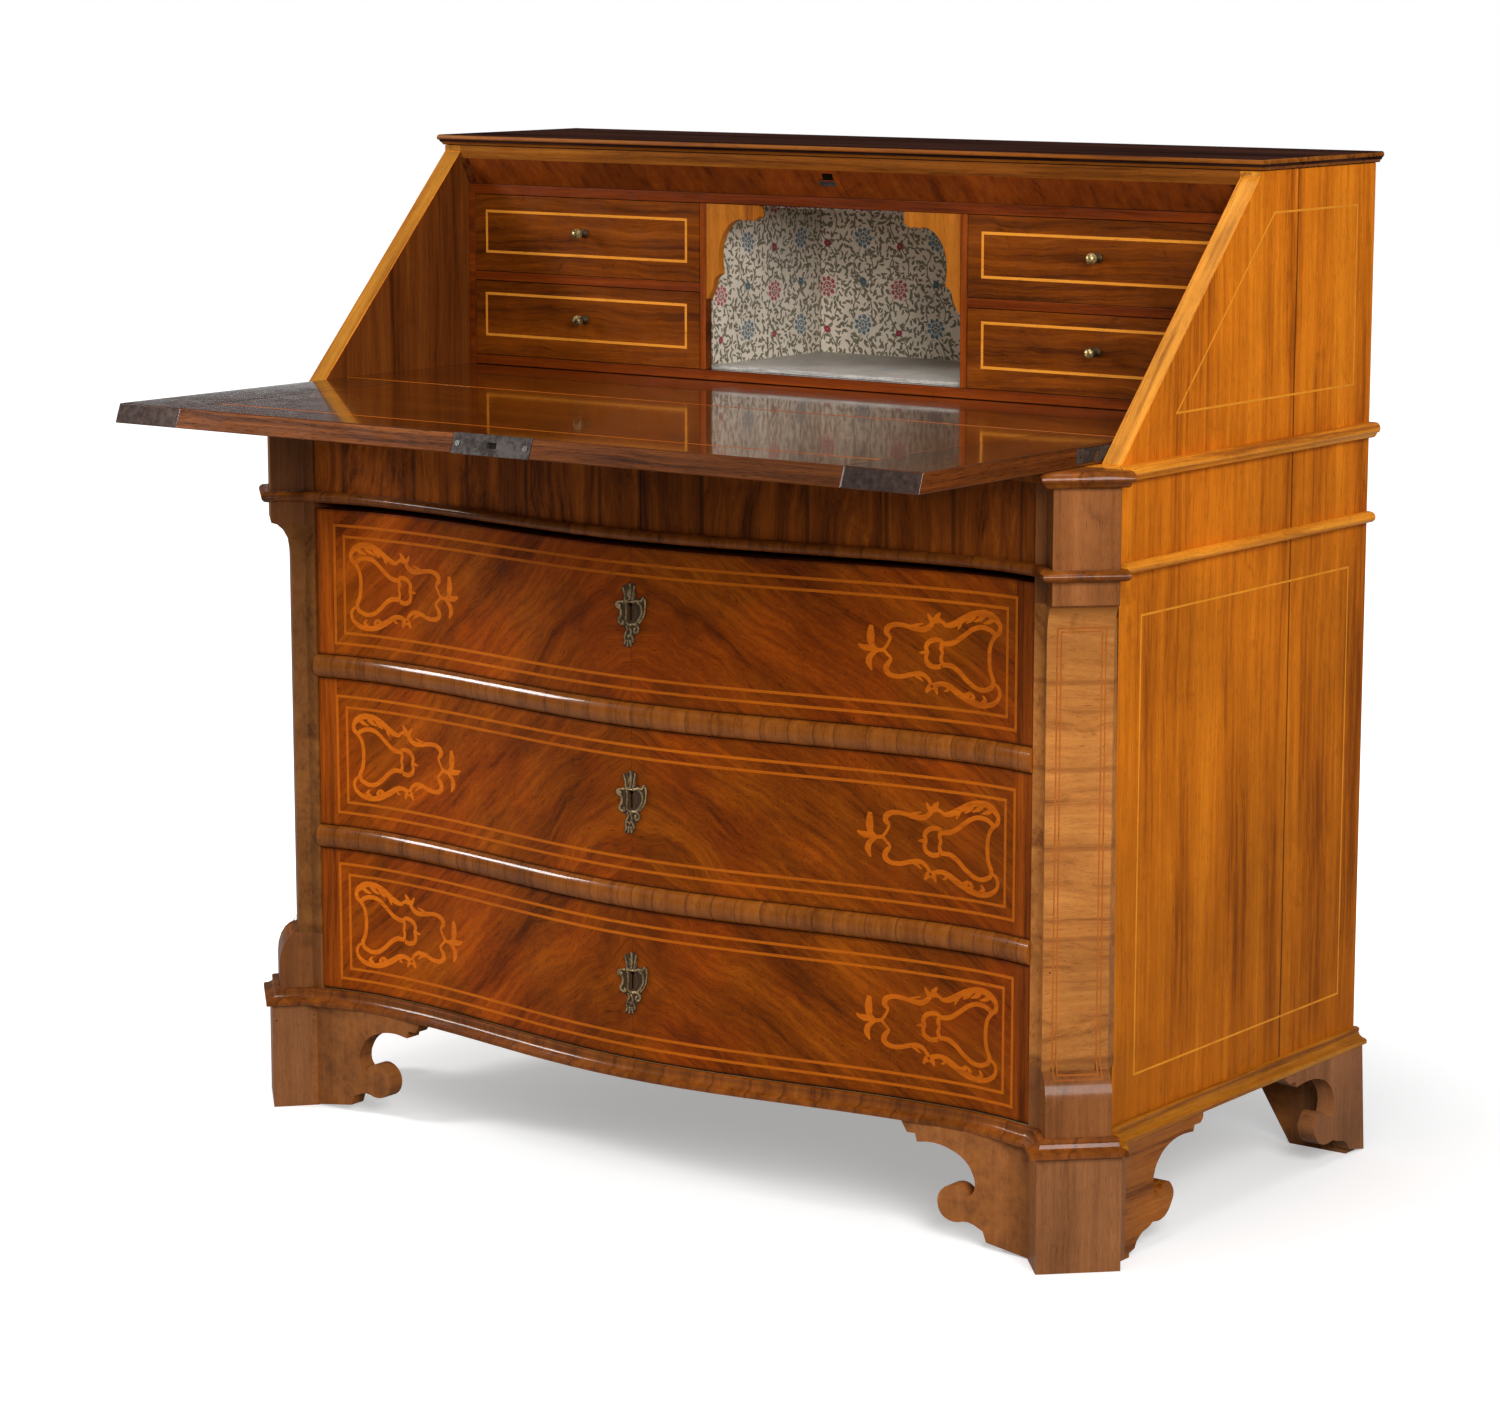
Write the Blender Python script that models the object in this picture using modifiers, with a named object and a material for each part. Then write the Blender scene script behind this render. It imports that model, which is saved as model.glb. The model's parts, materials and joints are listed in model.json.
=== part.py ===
# Slant-front desk of walnut with three long drawers, a fall and a fitted interior.
# Metres, +Z up, front towards -Y. While it is modelled, y = 0 is the front arris of the
# canted front feet; the last step centres the desk's depth on the origin.
import math

import bmesh
import bpy
from mathutils import Matrix, Vector

# Fit between pieces
touch = 0.0003            # pieces that rest on or meet one another
slide_gap = 0.0005        # above and below a drawer front
side_gap = 0.0007         # beside a drawer
overrun = 0.002           # how far a cutter runs past the face it cuts
weld = 0.00001            # points closer than this are one
round_steps = 24

# Case, driving sizes
case_half_width = 0.535
case_back = 0.584
side_thickness = 0.023
back_thickness = 0.012
board_thickness = 0.009
slope_angle = math.radians(46.2)

# Corner post and stile, in plan
post_width = 0.0655       # from the drawer opening to the outer face of the side
stile_width = 0.0135
stile_front = 0.0415
cant_front_run = 0.0246
cant_front_rise = 0.0274
cant_run = 0.0472
cant_depth = 0.0468
cant_rear = 0.0885
post_back = 0.0914
shaft_recess = 0.022
plinth_rise = 0.0445      # full size block above the post's bottom
flare_rise = 0.035
capital_drop = 0.1132     # from the post's top down to the arris of its block
cove_height = 0.0405

# Serpentine front: distance behind y = 0 of its crown and its hollow
bow_crown = 0.009
bow_hollow = 0.054
bow_end = 0.041           # where the line would end, past the drawer opening
hollow_inset = 0.0695     # from the drawer opening's side to the hollow
bow_return = 0.100        # from the hollow to that end
bow_steps = 26

# Heights, from the floor up
foot_height = 0.1172
base_height = 0.017
drawer_rise = 0.0015
top_drawer_height = 0.1610
middle_drawer_height = 0.165
bottom_drawer_height = 0.1595
rail_height = 0.0255
head_gap = 0.0070
frieze_height = 0.0902
ledge_thickness = 0.016
fall_thickness = 0.020
gallery_floor_thickness = 0.0114
low_drawer_height = 0.084
shelf_thickness = 0.0105
high_drawer_height = 0.0865
gallery_top_thickness = 0.0115
top_rail_height = 0.0434
top_board_thickness = 0.0115

# Interior, from the centre outwards
compartment_half = 0.1685
divider_thickness = 0.009
gallery_end = 0.0095
gallery_setback = 0.013
slope_head_drop = 0.0071

# Colour, roughness and metallic value of each finish
finishes = {
    "side_walnut": ((0.50, 0.20, 0.045), 0.35, 0.0),
    "front_walnut": ((0.33, 0.095, 0.018), 0.28, 0.0),
    "rail_walnut": ((0.30, 0.12, 0.04), 0.25, 0.0),
    "interior_walnut": ((0.24, 0.065, 0.014), 0.30, 0.0),
    "pale_wood": ((0.52, 0.20, 0.04), 0.40, 0.0),
    "carcass_pine": ((0.36, 0.20, 0.09), 0.65, 0.0),
    "lining_cloth": ((0.70, 0.66, 0.55), 0.85, 0.0),
    "aged_brass": ((0.22, 0.17, 0.09), 0.45, 1.0),
    "knob_brass": ((0.55, 0.40, 0.16), 0.30, 1.0),
    "dark_iron": ((0.06, 0.055, 0.05), 0.50, 1.0),
}

# Scene: the parts stand in their own collection, the cutters in another
for thing in list(bpy.data.objects):
    bpy.data.objects.remove(thing, do_unlink=True)
parts = bpy.data.collections.new("slant_front_desk")
cutters = bpy.data.collections.new("desk_cutters")
for group in (parts, cutters):
    bpy.context.scene.collection.children.link(group)


def paint(piece, finish):
    colour, roughness, metallic = finishes[finish]
    material = bpy.data.materials.new(piece.name + "_finish")
    material.use_nodes = True
    shader = material.node_tree.nodes["Principled BSDF"]
    shader.inputs["Base Color"].default_value = (*colour, 1.0)
    shader.inputs["Roughness"].default_value = roughness
    shader.inputs["Metallic"].default_value = metallic
    material.diffuse_color = (*colour, 1.0)
    piece.data.materials.append(material)


def place(name, mesh, finish):
    # A finish makes it a part; without one it is a cutter or a joined piece
    piece = bpy.data.objects.new(name, mesh)
    if finish:
        parts.objects.link(piece)
        paint(piece, finish)
    else:
        cutters.objects.link(piece)
        piece.hide_render = True
        piece.display_type = 'WIRE'
    return piece


def cut(piece, cutter):
    tool = piece.modifiers.new(cutter.name, 'BOOLEAN')
    tool.operation = 'DIFFERENCE'
    tool.solver = 'EXACT'
    tool.object = cutter
    return piece


def join(piece, other):
    tool = piece.modifiers.new(other.name, 'BOOLEAN')
    tool.operation = 'UNION'
    tool.solver = 'EXACT'
    tool.object = other
    return piece


def box(name, low, high, finish=None):
    shape = bmesh.new()
    bmesh.ops.create_cube(shape, size=1.0)
    low, high = Vector(low), Vector(high)
    spread = Matrix.Diagonal((*(high - low), 1.0))
    bmesh.ops.transform(shape, matrix=Matrix.Translation((low + high) / 2) @ spread, verts=shape.verts)
    mesh = bpy.data.meshes.new(name)
    shape.to_mesh(mesh)
    shape.free()
    return place(name, mesh, finish)


# Where a flat outline's own x, y and z go: seen from the front, from the side or from above
planes = {
    "front": Matrix(((1, 0, 0, 0), (0, 0, -1, 0), (0, 1, 0, 0), (0, 0, 0, 1))),
    "side": Matrix(((0, 0, 1, 0), (1, 0, 0, 0), (0, 1, 0, 0), (0, 0, 0, 1))),
    "plan": Matrix.Identity(4),
}
plane_depth = {"front": Vector((0, 1, 0)), "side": Vector((1, 0, 0)), "plan": Vector((0, 0, 1))}


def slab(name, plane, outlines, low, high, finish=None, smooth=0):
    # Closed outlines, the later ones holes, drawn as a 2D curve and given a thickness
    curve = bpy.data.curves.new(name, 'CURVE')
    curve.dimensions = '2D'
    curve.fill_mode = 'BOTH'
    curve.extrude = (high - low) / 2
    for outline in outlines:
        spline = curve.splines.new('BEZIER' if smooth else 'POLY')
        points = spline.bezier_points if smooth else spline.points
        points.add(len(outline) - 1)
        for point, corner in zip(points, outline):
            if smooth:
                point.co = (corner[0], corner[1], 0)
                handle = 'VECTOR' if len(corner) > 2 else 'AUTO'
                point.handle_left_type = point.handle_right_type = handle
            else:
                point.co = (corner[0], corner[1], 0, 1)
        spline.use_cyclic_u = True
        spline.resolution_u = max(smooth, 1)
    drawn = bpy.data.objects.new(name, curve)
    bpy.context.scene.collection.objects.link(drawn)
    seen = bpy.context.evaluated_depsgraph_get()
    mesh = bpy.data.meshes.new_from_object(drawn.evaluated_get(seen))
    bpy.data.objects.remove(drawn)
    mesh.transform(Matrix.Translation(plane_depth[plane] * (low + high) / 2) @ planes[plane])
    shape = bmesh.new()
    shape.from_mesh(mesh)
    bmesh.ops.remove_doubles(shape, verts=shape.verts, dist=weld)
    bmesh.ops.recalc_face_normals(shape, faces=shape.faces)
    shape.to_mesh(mesh)
    shape.free()
    return place(name, mesh, finish)


def loft(name, rings, finish=None):
    # Closed rings of equal length, joined in order and capped
    shape = bmesh.new()
    rows = [[shape.verts.new(point) for point in ring] for ring in rings]
    for row, following in zip(rows, rows[1:]):
        for i in range(len(row)):
            j = (i + 1) % len(row)
            shape.faces.new((row[i], row[j], following[j], following[i]))
    shape.faces.new(rows[0][::-1])
    shape.faces.new(rows[-1])
    bmesh.ops.recalc_face_normals(shape, faces=shape.faces)
    mesh = bpy.data.meshes.new(name)
    shape.to_mesh(mesh)
    shape.free()
    return place(name, mesh, finish)


def mitres(path):
    # At each point of an open path, the step that moves both its sides out by one unit
    steps = []
    normals = []
    for a, b in zip(path, path[1:]):
        along = (Vector(b) - Vector(a)).normalized()
        normals.append(Vector((-along.y, along.x)))
    for before, after in zip([normals[0]] + normals, normals + [normals[-1]]):
        total = before + after
        steps.append(total / (1 + before.dot(after)))
    return steps


def sweep(name, path, profile, finish):
    # Profile points are (distance out from the path, height)
    rings = []
    for point, step in zip(path, mitres(path)):
        rings.append([(*(Vector(point) + step * out), height) for out, height in profile])
    return loft(name, rings, finish)


def arc(centre, radii, start, end, steps):
    points = []
    for i in range(steps + 1):
        angle = math.radians(start + (end - start) * i / steps)
        points.append((centre[0] + radii[0] * math.cos(angle), centre[1] + radii[1] * math.sin(angle)))
    return points


def circle(centre, radius):
    return arc(centre, (radius, radius), 0, 360 * (round_steps - 1) / round_steps, round_steps - 1)


def seat(name, point):
    # An empty on a joint's axis, which carries the pieces that move with it
    axis = bpy.data.objects.new(name, None)
    axis.location = point
    parts.objects.link(axis)
    return axis


def carry(axis, *pieces):
    for piece in pieces:
        piece.parent = axis
        piece.location = -axis.location


# Levels worked out from the heights
drawer_heights = {1: top_drawer_height, 2: middle_drawer_height, 3: bottom_drawer_height}
base_bottom = foot_height + touch
base_top = base_bottom + base_height
drawer_low = {3: base_top + drawer_rise}
drawer_high = {3: drawer_low[3] + drawer_heights[3]}
rail_low = {}
rail_top = {}
for upper in (2, 1):
    rail_low[upper] = drawer_high[upper + 1] + slide_gap
    rail_top[upper] = rail_low[upper] + rail_height
    drawer_low[upper] = rail_top[upper] + slide_gap
    drawer_high[upper] = drawer_low[upper] + drawer_heights[upper]
frieze_low = drawer_high[1] + head_gap
frieze_top = frieze_low + frieze_height
ledge_low = frieze_top + touch
ledge_top = ledge_low + ledge_thickness
fall_low = ledge_top + touch
fall_top = fall_low + fall_thickness
floor_low = fall_top + touch
floor_top = floor_low + gallery_floor_thickness
shelf_low = floor_top + 2 * slide_gap + low_drawer_height
shelf_top = shelf_low + shelf_thickness
gallery_under = shelf_top + 2 * slide_gap + high_drawer_height
gallery_top = gallery_under + gallery_top_thickness
top_rail_low = gallery_top + touch
case_top = top_rail_low + top_rail_height
top_board_low = case_top + touch
desk_top = top_board_low + top_board_thickness

# Plan lines shared by the pieces
opening_half = case_half_width - post_width
inside_half = case_half_width - side_thickness - touch
inside_back = case_back - back_thickness - touch
side_front = post_back + touch
hollow_half = opening_half - hollow_inset
post_a = Vector((opening_half + stile_width, stile_front))
post_b = post_a + Vector((cant_front_run, -cant_front_rise))
post_c = post_b + Vector((cant_run, cant_depth))
post_d = Vector((case_half_width, cant_rear))
slope_rise = math.tan(slope_angle)
slope_head = case_top - slope_head_drop
top_front = side_front + (slope_head - ledge_top) / slope_rise
gallery_front = top_front + gallery_setback


def bow(x):
    # The serpentine line in plan: a swelling between two hollows, then the return
    if abs(x) <= hollow_half:
        return bow_crown + (bow_hollow - bow_crown) * (1 - math.cos(math.pi * abs(x) / hollow_half)) / 2
    turn = min((abs(x) - hollow_half) / bow_return, 1.0)
    return bow_hollow - (bow_hollow - bow_end) * (1 - math.cos(math.pi * turn)) / 2


def bow_stations(half):
    return [half - 2 * half * i / bow_steps for i in range(bow_steps + 1)]


front_line = [(x, bow(x)) for x in bow_stations(opening_half)]
right_line = [post_d, post_c, post_b, post_a]
left_line = [Vector((-p.x, p.y)) for p in reversed(right_line)]
stile_inner = Vector((opening_half, stile_front))
case_line = [Vector((case_half_width, case_back))] + right_line + [stile_inner]
case_line += [Vector(p) for p in front_line[1:-1]] + [Vector((-stile_inner.x, stile_inner.y))]
case_line += left_line + [Vector((-case_half_width, case_back))]


# Side panels: the slanted edge rises from the ledge to the vertical front of the top
pin_radius = 0.003
pin_length = 0.012
pin_clearance = 0.0003
fall_inset = 0.002        # the closed fall lies this far behind the slanted edges
fall_end_gap = 0.0015
seam = 0.0004             # between the fall's rounded rear edge and the writing bed
closing_clearance = 0.0005

hinge_z = fall_low + fall_thickness / 2
hinge_depth = fall_thickness / 2 + fall_inset
hinge_y = side_front + (hinge_depth + math.cos(slope_angle) * (hinge_z - ledge_top)) / math.sin(slope_angle)
half_fall = fall_thickness / 2
fall_reach = half_fall * (1 + math.cos(slope_angle)) / math.sin(slope_angle) + closing_clearance
fall_radius = math.hypot(fall_reach, half_fall)
fall_half_length = case_half_width - side_thickness - fall_end_gap

side_outline = [
    (side_front, base_bottom), (case_back, base_bottom), (case_back, case_top),
    (top_front, case_top), (top_front, slope_head), (side_front, ledge_top)]
for side, sign in (("left", -1), ("right", 1)):
    inner = case_half_width - side_thickness
    low, high = sorted((sign * inner, sign * case_half_width))
    panel = slab("side_" + side, "side", [side_outline], low, high, "side_walnut")
    hole = circle((hinge_y, hinge_z), pin_radius + pin_clearance)
    low, high = sorted((sign * (inner - overrun), sign * (inner + pin_length + touch)))
    cut(panel, slab("pin_hole_" + side, "side", [hole], low, high))

box("back_panel", (-inside_half, case_back - back_thickness, base_bottom),
    (inside_half, case_back, case_top), "carcass_pine")

bottom_outline = [(x, y + touch) for x, y in front_line]
bottom_outline[0] = (opening_half - touch, bottom_outline[0][1])
bottom_outline[-1] = (touch - opening_half, bottom_outline[-1][1])
behind_post = [(-opening_half + touch, side_front), (-inside_half, side_front), (-inside_half, inside_back)]
bottom_outline += behind_post + [(-x, y) for x, y in reversed(behind_post)]
slab("bottom_board", "plan", [bottom_outline], base_bottom, base_top, "carcass_pine")

# Top board: a small cove under a rounded edge on the front and both ends
top_side_overhang = 0.007
top_front_overhang = 0.0065
top_rear_overhang = 0.004
top_cove = 0.005
top_edge_shares = [
    (1.0, 0.0), (0.85, 0.18), (0.45, 0.34), (0.42, 0.46), (0.12, 0.52), (0.0, 0.66), (0.06, 0.86),
    (0.30, 1.0)]
rings = []
for inset_share, height_share in top_edge_shares:
    inset = top_cove * inset_share
    level = top_board_low + top_board_thickness * height_share
    half = case_half_width + top_side_overhang - inset
    front = top_front - top_front_overhang + inset
    rear = case_back + top_rear_overhang
    rings.append([(-half, front, level), (half, front, level), (half, rear, level), (-half, rear, level)])
loft("top_board", rings, "side_walnut")

# Top rail: a plumb strip, then a face leaning back that the closed fall's edge meets
strip_height = 0.0142
band_lean = 0.0143
top_rail_depth = 0.048
band_top = Vector((top_front, case_top - strip_height))
band_foot = Vector((top_front + band_lean, top_rail_low))
rail_rear = top_front + top_rail_depth
top_rail_outline = [
    (top_front, case_top), band_top, band_foot, (rail_rear, top_rail_low), (rail_rear, case_top)]
top_rail = slab("top_rail", "side", [top_rail_outline], -inside_half, inside_half, "interior_walnut")

# Writing bed, its front edge hollowed round the fall's pivot
bed_edge = fall_radius + seam
bed_angle = math.degrees(math.asin(half_fall / bed_edge))
bed_outline = arc((hinge_y, hinge_z), (bed_edge, bed_edge), -bed_angle, bed_angle, 6)
bed_outline += [(inside_back, fall_top), (inside_back, fall_low)]
slab("writing_bed", "side", [bed_outline], -inside_half, inside_half, "interior_walnut")


def inset_line(path, inset):
    return [Vector(point) - step * inset for point, step in zip(path, mitres(path))]


ledge_outline = inset_line(case_line[1:-1], touch)
ledge_outline += [(touch - case_half_width, post_back), (case_half_width - touch, post_back)]
slab("front_ledge", "plan", [ledge_outline], ledge_low, ledge_top, "interior_walnut")

frieze_outline = [(x * (1 - touch / opening_half), y) for x, y in front_line]
frieze_outline += [(touch - opening_half, post_back), (opening_half - touch, post_back)]
frieze = slab("frieze_rail", "plan", [frieze_outline], frieze_low, frieze_top, "rail_walnut")

dust_low = frieze_low + slide_gap
box("dust_board_top", (-inside_half, side_front, dust_low),
    (inside_half, inside_back, dust_low + board_thickness), "carcass_pine")

# Drawer rails: half-round in front, with a dust board let in behind
rail_projection = 0.008
rail_depth = 0.018        # behind the posts' rear faces, where the board joins
rails = {}
for number in (1, 2):
    low, high = rail_low[number], rail_top[number]
    sections = []
    for x in bow_stations(opening_half - touch):
        nose = arc((bow(x), (low + high) / 2), (-rail_projection, rail_height / 2), -90, 90, 8)
        ring = nose + [(post_back + rail_depth, high), (post_back + rail_depth, low)]
        sections.append([(x, y, z) for y, z in ring])
    name = "drawer_rail_" + str(number)
    rails[number] = loft(name, sections, "rail_walnut")
    board_top = high - touch
    board = box(name + "_board", (-inside_half, side_front, board_top - board_thickness),
                (inside_half, inside_back, board_top))
    join(rails[number], board)

# Corner posts: canted blocks whose shaft is recessed between a flare and a cove
cant_normal = Vector((-cant_depth, cant_run)).normalized()
post_top = frieze_top
block_foot = base_bottom + plinth_rise
shaft_low = block_foot + flare_rise
block_head = post_top - capital_drop
shaft_high = block_head - cove_height
curve_steps = 5
recesses = [(base_bottom, 0.0), (block_foot, 0.0)]
for i in range(1, curve_steps + 1):
    turn = math.radians(90 * i / curve_steps)
    recesses.append((shaft_low - flare_rise * (1 - math.sin(turn)), shaft_recess * (1 - math.cos(turn))))
for i in range(curve_steps + 1):
    turn = math.radians(90 * i / curve_steps)
    recesses.append((shaft_high + cove_height * math.sin(turn), shaft_recess * math.cos(turn)))
recesses.append((post_top, 0.0))
for side, sign in (("left", -1), ("right", 1)):
    rings = []
    for level, recess in recesses:
        shift = cant_normal * recess
        ring = [Vector((opening_half, stile_front)), post_a, post_b + shift, post_c + shift, post_d,
                Vector((case_half_width, post_back)), Vector((opening_half, post_back))]
        rings.append([(sign * p.x, p.y, level) for p in ring])
    loft("corner_post_" + side, rings, "rail_walnut")

# Mouldings run round the front and both sides, mitred at the posts
upper_projection = 0.013
upper_edge_shares = [
    (0.0, 0.0), (0.45, 0.0), (0.62, 0.12), (0.70, 0.30), (0.92, 0.38), (1.0, 0.55), (0.96, 0.78),
    (0.80, 0.95), (0.60, 1.0), (0.0, 1.0)]
lower_projection = 0.010
lower_height = 0.012
lower_edge_shares = [
    (0.0, 0.0), (0.30, 0.0), (0.70, 0.10), (0.95, 0.32), (1.0, 0.52), (0.92, 0.75), (0.62, 0.95), (0.25, 1.0),
    (0.0, 1.0)]
base_projection = 0.016
base_edge_shares = [
    (0.0, 0.0), (1.0, 0.0), (1.0, 0.22), (0.90, 0.30), (0.66, 0.36), (0.45, 0.50), (0.36, 0.72), (0.42, 0.80),
    (0.40, 0.94), (0.22, 1.0), (0.0, 1.0)]


def edge_profile(edge_shares, projection, low, height):
    return [(touch + projection * out, low + height * up) for out, up in edge_shares]


sweep("upper_moulding", case_line,
      edge_profile(upper_edge_shares, upper_projection, ledge_low, ledge_thickness), "rail_walnut")
sweep("lower_moulding", case_line,
      edge_profile(lower_edge_shares, lower_projection, frieze_low, lower_height), "rail_walnut")
sweep("base_moulding", case_line,
      edge_profile(base_edge_shares, base_projection, base_bottom, base_height), "rail_walnut")

# Feet: sawn brackets with a scroll, the front ones against a canted block.
# Shares are (distance from the block, height); a third value marks a sharp corner.
foot_projection = 0.0097
foot_side_projection = 0.0160
bracket_setback = 0.0045
bracket_thickness = 0.020
front_bracket_length = 0.159
side_bracket_length = 0.159
rear_bracket_length = 0.1716
foot_lap = 0.006
bracket_front_shares = [
    (0.0, 1.0, 1), (1.0, 1.0, 1), (0.984, 0.961), (0.953, 0.899, 1), (0.893, 0.904, 1), (0.878, 0.832, 1),
    (0.757, 0.852), (0.622, 0.823), (0.510, 0.748), (0.455, 0.651), (0.436, 0.559), (0.450, 0.480),
    (0.496, 0.433, 1), (0.520, 0.475), (0.565, 0.509), (0.626, 0.507), (0.680, 0.465), (0.712, 0.400),
    (0.716, 0.321), (0.685, 0.235), (0.600, 0.190), (0.485, 0.213), (0.374, 0.160, 1), (0.349, 0.068, 1),
    (0.0, 0.0, 1)]
bracket_side_shares = [
    (0.0, 1.0, 1), (1.0, 1.0, 1), (1.0, 0.962), (0.965, 0.918, 1), (0.896, 0.922, 1), (0.879, 0.867, 1),
    (0.741, 0.881), (0.586, 0.850), (0.467, 0.758), (0.408, 0.634), (0.405, 0.520), (0.428, 0.450),
    (0.450, 0.437, 1), (0.484, 0.455), (0.535, 0.522), (0.578, 0.526), (0.621, 0.482), (0.651, 0.402),
    (0.625, 0.317), (0.568, 0.238), (0.484, 0.207), (0.400, 0.220, 1), (0.374, 0.200), (0.280, 0.170, 1),
    (0.215, 0.114), (0.190, 0.058, 1), (0.0, 0.0, 1)]


def shift_line(point, along, out):
    # A line moved sideways: a point on it and its direction
    along = Vector(along).normalized()
    return Vector(point) + Vector((along.y, -along.x)) * out, along


def meet(first, second):
    (p, d), (q, e) = first, second
    return p + d * ((q - p).cross(e) / d.cross(e))


foot_face = stile_front - bracket_setback
foot_side = case_half_width + foot_side_projection
lines = [
    (Vector((0, foot_face)), Vector((1, 0))), shift_line(post_a, post_b - post_a, foot_projection),
    shift_line(post_b, post_c - post_b, foot_projection),
    shift_line(post_c, post_d - post_c, foot_projection), (Vector((foot_side, 0)), Vector((0, 1)))]
foot_a, foot_b, foot_c, foot_d = [meet(one, other) for one, other in zip(lines, lines[1:])]
block_inner = foot_a.x - bracket_thickness
block_rear = foot_d.y + bracket_thickness
block_plan = [foot_a, foot_b, foot_c, foot_d, Vector((foot_side, block_rear)),
              Vector((foot_side - bracket_thickness, block_rear)),
              Vector((foot_a.x, foot_face + bracket_thickness))]
for side, sign in (("left", -1), ("right", 1)):
    plan = [(sign * p.x, p.y) for p in block_plan]
    foot = slab("foot_front_" + side, "plan", [plan], 0, foot_height, "rail_walnut")
    outline = [(sign * (foot_a.x + foot_lap - front_bracket_length * a), foot_height * u, *corner)
               for a, u, *corner in bracket_front_shares]
    join(foot, slab("bracket_front_" + side, "front", [outline], foot_face, foot_face + bracket_thickness,
                    smooth=3))
    outline = [(foot_d.y + side_bracket_length * a, foot_height * u, *corner)
               for a, u, *corner in bracket_side_shares]
    low, high = sorted((sign * (foot_side - bracket_thickness), sign * foot_side))
    join(foot, slab("bracket_side_" + side, "side", [outline], low, high, smooth=3))

# Rear feet: the same bracket turned round, flared at the floor, and a plain wing across the back
rear_flare = 0.009
wing_length = 0.150
wing_foot = 0.075
for side, sign in (("left", -1), ("right", 1)):
    outline = [(case_back - rear_bracket_length * a, foot_height * u, *corner)
               for a, u, *corner in bracket_side_shares]
    outline[0] = (case_back - rear_flare, foot_height, 1)
    low, high = sorted((sign * (foot_side - bracket_thickness), sign * foot_side))
    foot = slab("foot_rear_" + side, "side", [outline], low, high, "rail_walnut", smooth=3)
    wing = [(sign * (foot_side - foot_lap), 0), (sign * (foot_side - wing_foot), 0),
            (sign * (foot_side - wing_length), foot_height), (sign * (foot_side - foot_lap), foot_height)]
    rear = case_back - rear_flare - touch
    join(foot, slab("wing_" + side, "front", [wing], rear - bracket_thickness, rear))

# Gallery inside the slant
gallery_half = inside_half
frame_inner = gallery_half - gallery_end
frame = box("gallery_frame", (-gallery_half, gallery_front, floor_low),
            (gallery_half, inside_back, gallery_top), "interior_walnut")
cut(frame, box("gallery_space", (-frame_inner, gallery_front - overrun, floor_low - overrun),
               (frame_inner, inside_back + overrun, gallery_under)))
floor_half = frame_inner - touch
box("gallery_floor", (-floor_half, gallery_front, floor_low),
    (floor_half, inside_back, floor_top), "interior_walnut")
divider_outer = compartment_half + divider_thickness
for side, sign in (("left", -1), ("right", 1)):
    low, high = sorted((sign * compartment_half, sign * divider_outer))
    box("gallery_divider_" + side, (low, gallery_front, floor_top + touch),
        (high, inside_back, gallery_under - touch), "interior_walnut")
    low, high = sorted((sign * (divider_outer + touch), sign * floor_half))
    box("gallery_shelf_" + side, (low, gallery_front, shelf_low),
        (high, inside_back, shelf_top), "interior_walnut")

# Scalloped brackets in the corners of the compartment's opening.
# Shares are (distance in from the divider, distance down) of the bracket's reach and drop.
scallop_reach = 0.0725
scallop_drop = 0.1045
scallop_thickness = 0.009
scallop_shares = [
    (0.0, 0.0, 1), (1.0, 0.0, 1), (1.0, 0.115, 1), (0.89, 0.160), (0.80, 0.150), (0.72, 0.165, 1),
    (0.64, 0.150), (0.49, 0.185), (0.36, 0.270), (0.265, 0.400), (0.235, 0.540), (0.245, 0.660),
    (0.260, 0.730, 1), (0.165, 0.780), (0.120, 0.880), (0.030, 1.0, 1), (0.0, 1.0, 1)]
scallop_side = compartment_half - touch
for side, sign in (("left", -1), ("right", 1)):
    outline = [(sign * (scallop_side - scallop_reach * a), gallery_under - touch - scallop_drop * d, *corner)
               for a, d, *corner in scallop_shares]
    slab("scalloped_bracket_" + side, "front", [outline], gallery_front, gallery_front + scallop_thickness,
         "pale_wood", smooth=3)

# Lining: a thin box, open in front, behind the brackets
lining_wall = 0.002
lining_floor = 0.0045
lining_front = gallery_front + scallop_thickness + touch
lining = box("compartment_lining", (-scallop_side, lining_front, floor_top + touch),
             (scallop_side, inside_back, gallery_under - touch), "lining_cloth")
cut(lining, box("lining_space",
                (lining_wall - scallop_side, lining_front - overrun, floor_top + touch + lining_floor),
                (scallop_side - lining_wall, inside_back - lining_wall, gallery_under - touch - lining_wall)))

# Small drawers: a front and its tray, with a turned knob
small_front = 0.011
small_wall = 0.006
small_bottom = 0.005
small_back_gap = 0.012
small_lap = 0.004         # the tray stands this much lower than the front
knob_height_share = 0.55
knob_profile_shares = [   # radius as a share of the knob's, distance out as a share of its reach
    (0.0, 1.0), (0.35, 0.985), (0.68, 0.90), (0.90, 0.76), (1.0, 0.60), (0.93, 0.46), (0.66, 0.36),
    (0.42, 0.30), (0.36, 0.20), (0.45, 0.12), (0.72, 0.07), (0.78, 0.0), (0.0, 0.0)]
knob_radius = 0.006
knob_reach = 0.020
knob_steps = 16


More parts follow.
